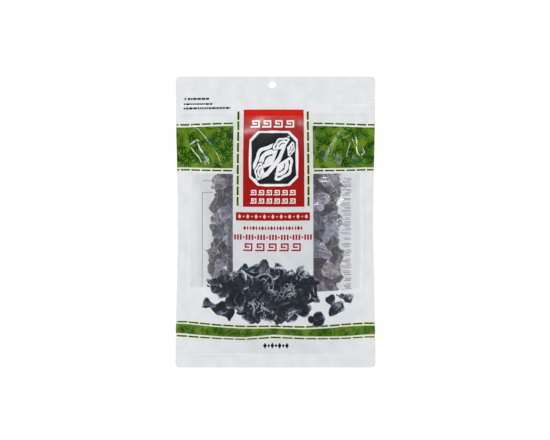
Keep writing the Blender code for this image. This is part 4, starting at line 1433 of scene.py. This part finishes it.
def room_inside(x, y, edge):
    """How far inside an outline a point lies, less than nothing outside it."""
    inside = False
    nearest = 1e9
    for (ax, ay), (bx, by) in zip(edge, edge[1:] + edge[:1]):
        if (ay > y) != (by > y) and x < ax + (y - ay) * (bx - ax) / (by - ay):
            inside = not inside
        t = ((x - ax) * (bx - ax) + (y - ay) * (by - ay)) / ((bx - ax) ** 2 + (by - ay) ** 2)
        t = min(1, max(0, t))
        nearest = min(nearest, math.hypot(x - ax - t * (bx - ax), y - ay - t * (by - ay)))
    return nearest if inside else -nearest


heap_edge = [photo_place(*pixel) for pixel in HEAP_EDGE]
edge_xs, edge_ys = zip(*heap_edge)
heap_left, heap_right, heap_low, heap_high = min(edge_xs), max(edge_xs), min(edge_ys), max(edge_ys)
laid = 0
while laid < HEAP_EARS:
    u, v = art_rng.uniform(heap_left, heap_right), art_rng.uniform(heap_low, heap_high)
    radius = art_rng.uniform(*HEAP_RADII)
    if room_inside(u, v, heap_edge) < HEAP_ROOM * radius:
        continue
    depth = FRONT_DEPTH + (BACK_DEPTH - FRONT_DEPTH) * ((v - heap_low) / (heap_high - heap_low))
    lay_ear(u, v, depth + art_rng.uniform(-DEPTH_SPREAD, DEPTH_SPREAD), radius, HEAP_TILT)
    laid += 1
for across, down, radius, tilt, bearing in LOOSE:
    u, v = photo_place(across, down)
    lay_ear(u, v, FRONT_DEPTH + LOOSE_SLOPE * (v - heap_low), radius, tilt, bearing)
art_tree = BVHTree.FromPolygons(art_verts, art_faces)
art_view = Vector((0, math.cos(ART_LIFT), -math.sin(ART_LIFT)))
art_up = Vector((0, math.sin(ART_LIFT), math.cos(ART_LIFT)))
art_light = Vector(ART_LIGHT).normalized()


def drawn_glow(u, v):
    """How bright the drawing is at a place of the film, or None where it shows no ear."""
    start = Vector((u, 0, 0)) + art_up * (v - ART_GROUND) - art_view * ART_BACK
    hit, normal, face, _ = art_tree.ray_cast(start, art_view)
    if hit is None:
        return None
    if normal.dot(art_view) > 0:
        normal = -normal
    shadow = art_tree.ray_cast(hit + normal * SHADOW_STEP, art_light)[0] is not None
    lit = max(0.0, normal.dot(art_light)) * (SHADOW_LIGHT if shadow else 1.0)
    sheen = max(0.0, normal.dot((art_light - art_view).normalized())) ** SHEEN_POWER
    sheen *= SHADOW_SHEEN if shadow else 1.0
    grain = 1.0
    for share, fineness in GRAINS:
        grain += share * noise.noise(hit * fineness)
    body = (BODY_DARK + BODY_LIT * lit**BODY_CURVE) * grain
    wear = min(WEAR_HIGH, max(WEAR_LOW, WEAR_MIDDLE + WEAR_SPREAD * noise.noise(hit * WEAR_FINENESS)))
    near = art_near[face]
    brink = 1.0 if near > RIM_AT else BRINK_SHARE if near > BRINK_AT else 0.0
    return min(BRIGHTEST, body + (RIM_LIT * lit + RIM_DARK) * wear * brink + SHEEN_LIT * sheen * grain)


# ---------------------------------------------------------------- the front film
# The printed sheet itself: its mesh is cut along the print, finer in the printed heap and along the folds,
# and bent over the filling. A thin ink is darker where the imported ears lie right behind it.
GRID, HEAP_GRID, INNER_GRID = 0.0016, 0.00070, 0.0019
HEAP_BOX = (-0.0860, -0.1135, 0.0900, -0.0370)
EDGE_MARGIN = 0.0011
FRONT_HOLE_ROOM = 0.0007
HARDLY_FOLDED = 0.00001
HEAP_INK = (0.020, 0.024, 0.033, 1)
HEAP_RED, HEAP_GREEN, HEAP_BLUE, HEAP_PALING = 0.84, 0.98, 1.28, 0.3  # the drawing's bluish grey
CLEAR_COLOUR = (0.92, 0.93, 1.0, 1)
CLEAR_LOOK = {"Metallic": 0.75, "Alpha": 0.07, "Roughness": 0.19}
HEAP_ROUGHNESS = 0.26
BACKED_HALF, BACKED_SIDE_EASE = 0.062, 0.02  # where packed ears lie behind the print, and how it fades
BACKED_HIGH, BACKED_HIGH_EASE = 0.119, 0.012
BACKED_LOW, BACKED_LOW_EASE = -0.075, 0.025


def in_heap_box(p):
    x0, y0, x1, y1 = HEAP_BOX
    return x0 < p[0] < x1 and y0 < p[1] < y1


w, h = HALF_WIDTH - EDGE_MARGIN, HALF_HEIGHT - EDGE_MARGIN
coarse = [p for p in off_hole(grid_points(-w, -h, w, h, GRID), FRONT_HOLE_ROOM) if not in_heap_box(p)]
points = np.array(coarse + grid_points(*HEAP_BOX, HEAP_GRID))
x, y, _ = front_place(points[:, 0], points[:, 1])
points = [tuple(p) for p in points[fold_rise(x, y) < HARDLY_FOLDED]]
points += [tuple(p) for p in fold_points() if abs(p[0]) < w and abs(p[1]) < h]
flat, faces, inks = cut_sheet(outline, [film_hole], prints, points)
clear_shapes = [(shape, ink) for shape, ink in prints if ink == CLEAR]
front_inner = inner_sheet((flat, faces, inks), clear_shapes, INSIDE, INNER_GRID)

covered = np.zeros(len(flat), int)
ink_colour = np.tile(np.array(HEAP_INK), (len(flat), 1))
for k, p in enumerate(flat):
    glow = drawn_glow(*p) if in_heap_box(p) else None
    if glow is not None:
        covered[k] = 1
        blue = HEAP_BLUE - HEAP_PALING * glow
        ink_colour[k] = (glow * HEAP_RED, glow * HEAP_GREEN, glow * blue, 1)
inks = [PILE if covered[list(face)].sum() >= 2 else ink for face, ink in zip(faces, inks)]

clear, tree, shader = shader_of("clear film")
feed(tree, shader, {"Base Color": CLEAR_COLOUR, **CLEAR_LOOK})
heap_ink, tree, shader = shader_of("printed heap")
picture = new_node(tree, "ShaderNodeAttribute", attribute_name="ink").outputs["Color"]
feed(tree, shader, {"Base Color": picture, "Roughness": HEAP_ROUGHNESS})
finishes = [  # in the order of the inks' numbers
    white_ink,
    ink_finish("leaf green ink", (0.040, 0.108, 0.001), (0.134, 0.222, 0.014)),
    ink_finish("dark leaf ink", (0.002, 0.038, 0.001), (0.006, 0.066, 0.003)),
    ink_finish("teal leaf ink", (0.003, 0.052, 0.010), (0.012, 0.096, 0.034)),
    ink_finish("olive ink", (0.020, 0.036, 0.004), (0.046, 0.070, 0.009)),
    ink_finish("pale bamboo ink", (0.600, 0.720, 0.330)),
    ink_finish("red ink", (0.560, 0.012, 0.008), over_dark=0.57),
    ink_finish("bright white ink", (0.800, 0.800, 0.820), over_dark=0.93),
    ink_finish("deep red ink", (0.330, 0.020, 0.028), over_dark=0.9),
    ink_finish("black ink", (0.012, 0.014, 0.018)),
    clear,
    heap_ink,
    ink_finish("cream ink", (0.70, 0.55, 0.52)),
    inside_white,
]
front_mesh = film_mesh("front_sheet", (flat, faces, inks), front_inner, front_place, LAMINATE, finishes)
x, y, _ = read_points(front_mesh).T
backed = np.minimum((BACKED_HIGH - y) / BACKED_HIGH_EASE, (y - BACKED_LOW) / BACKED_LOW_EASE)
backed = np.minimum((BACKED_HALF - np.abs(x)) / BACKED_SIDE_EASE, backed)
behind = front_mesh.attributes.new("behind", "FLOAT", "POINT")
behind.data.foreach_set("value", np.clip(backed, 0, 1))
drawn = front_mesh.attributes.new("ink", "FLOAT_COLOR", "POINT")
whole = np.zeros((len(front_mesh.vertices), 4))
whole[:len(flat)] = ink_colour
drawn.data.foreach_set("color", whole.ravel())
front_sheet = mesh_object("front_sheet", front_mesh)
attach(front_sheet, "root")
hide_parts("front_film")
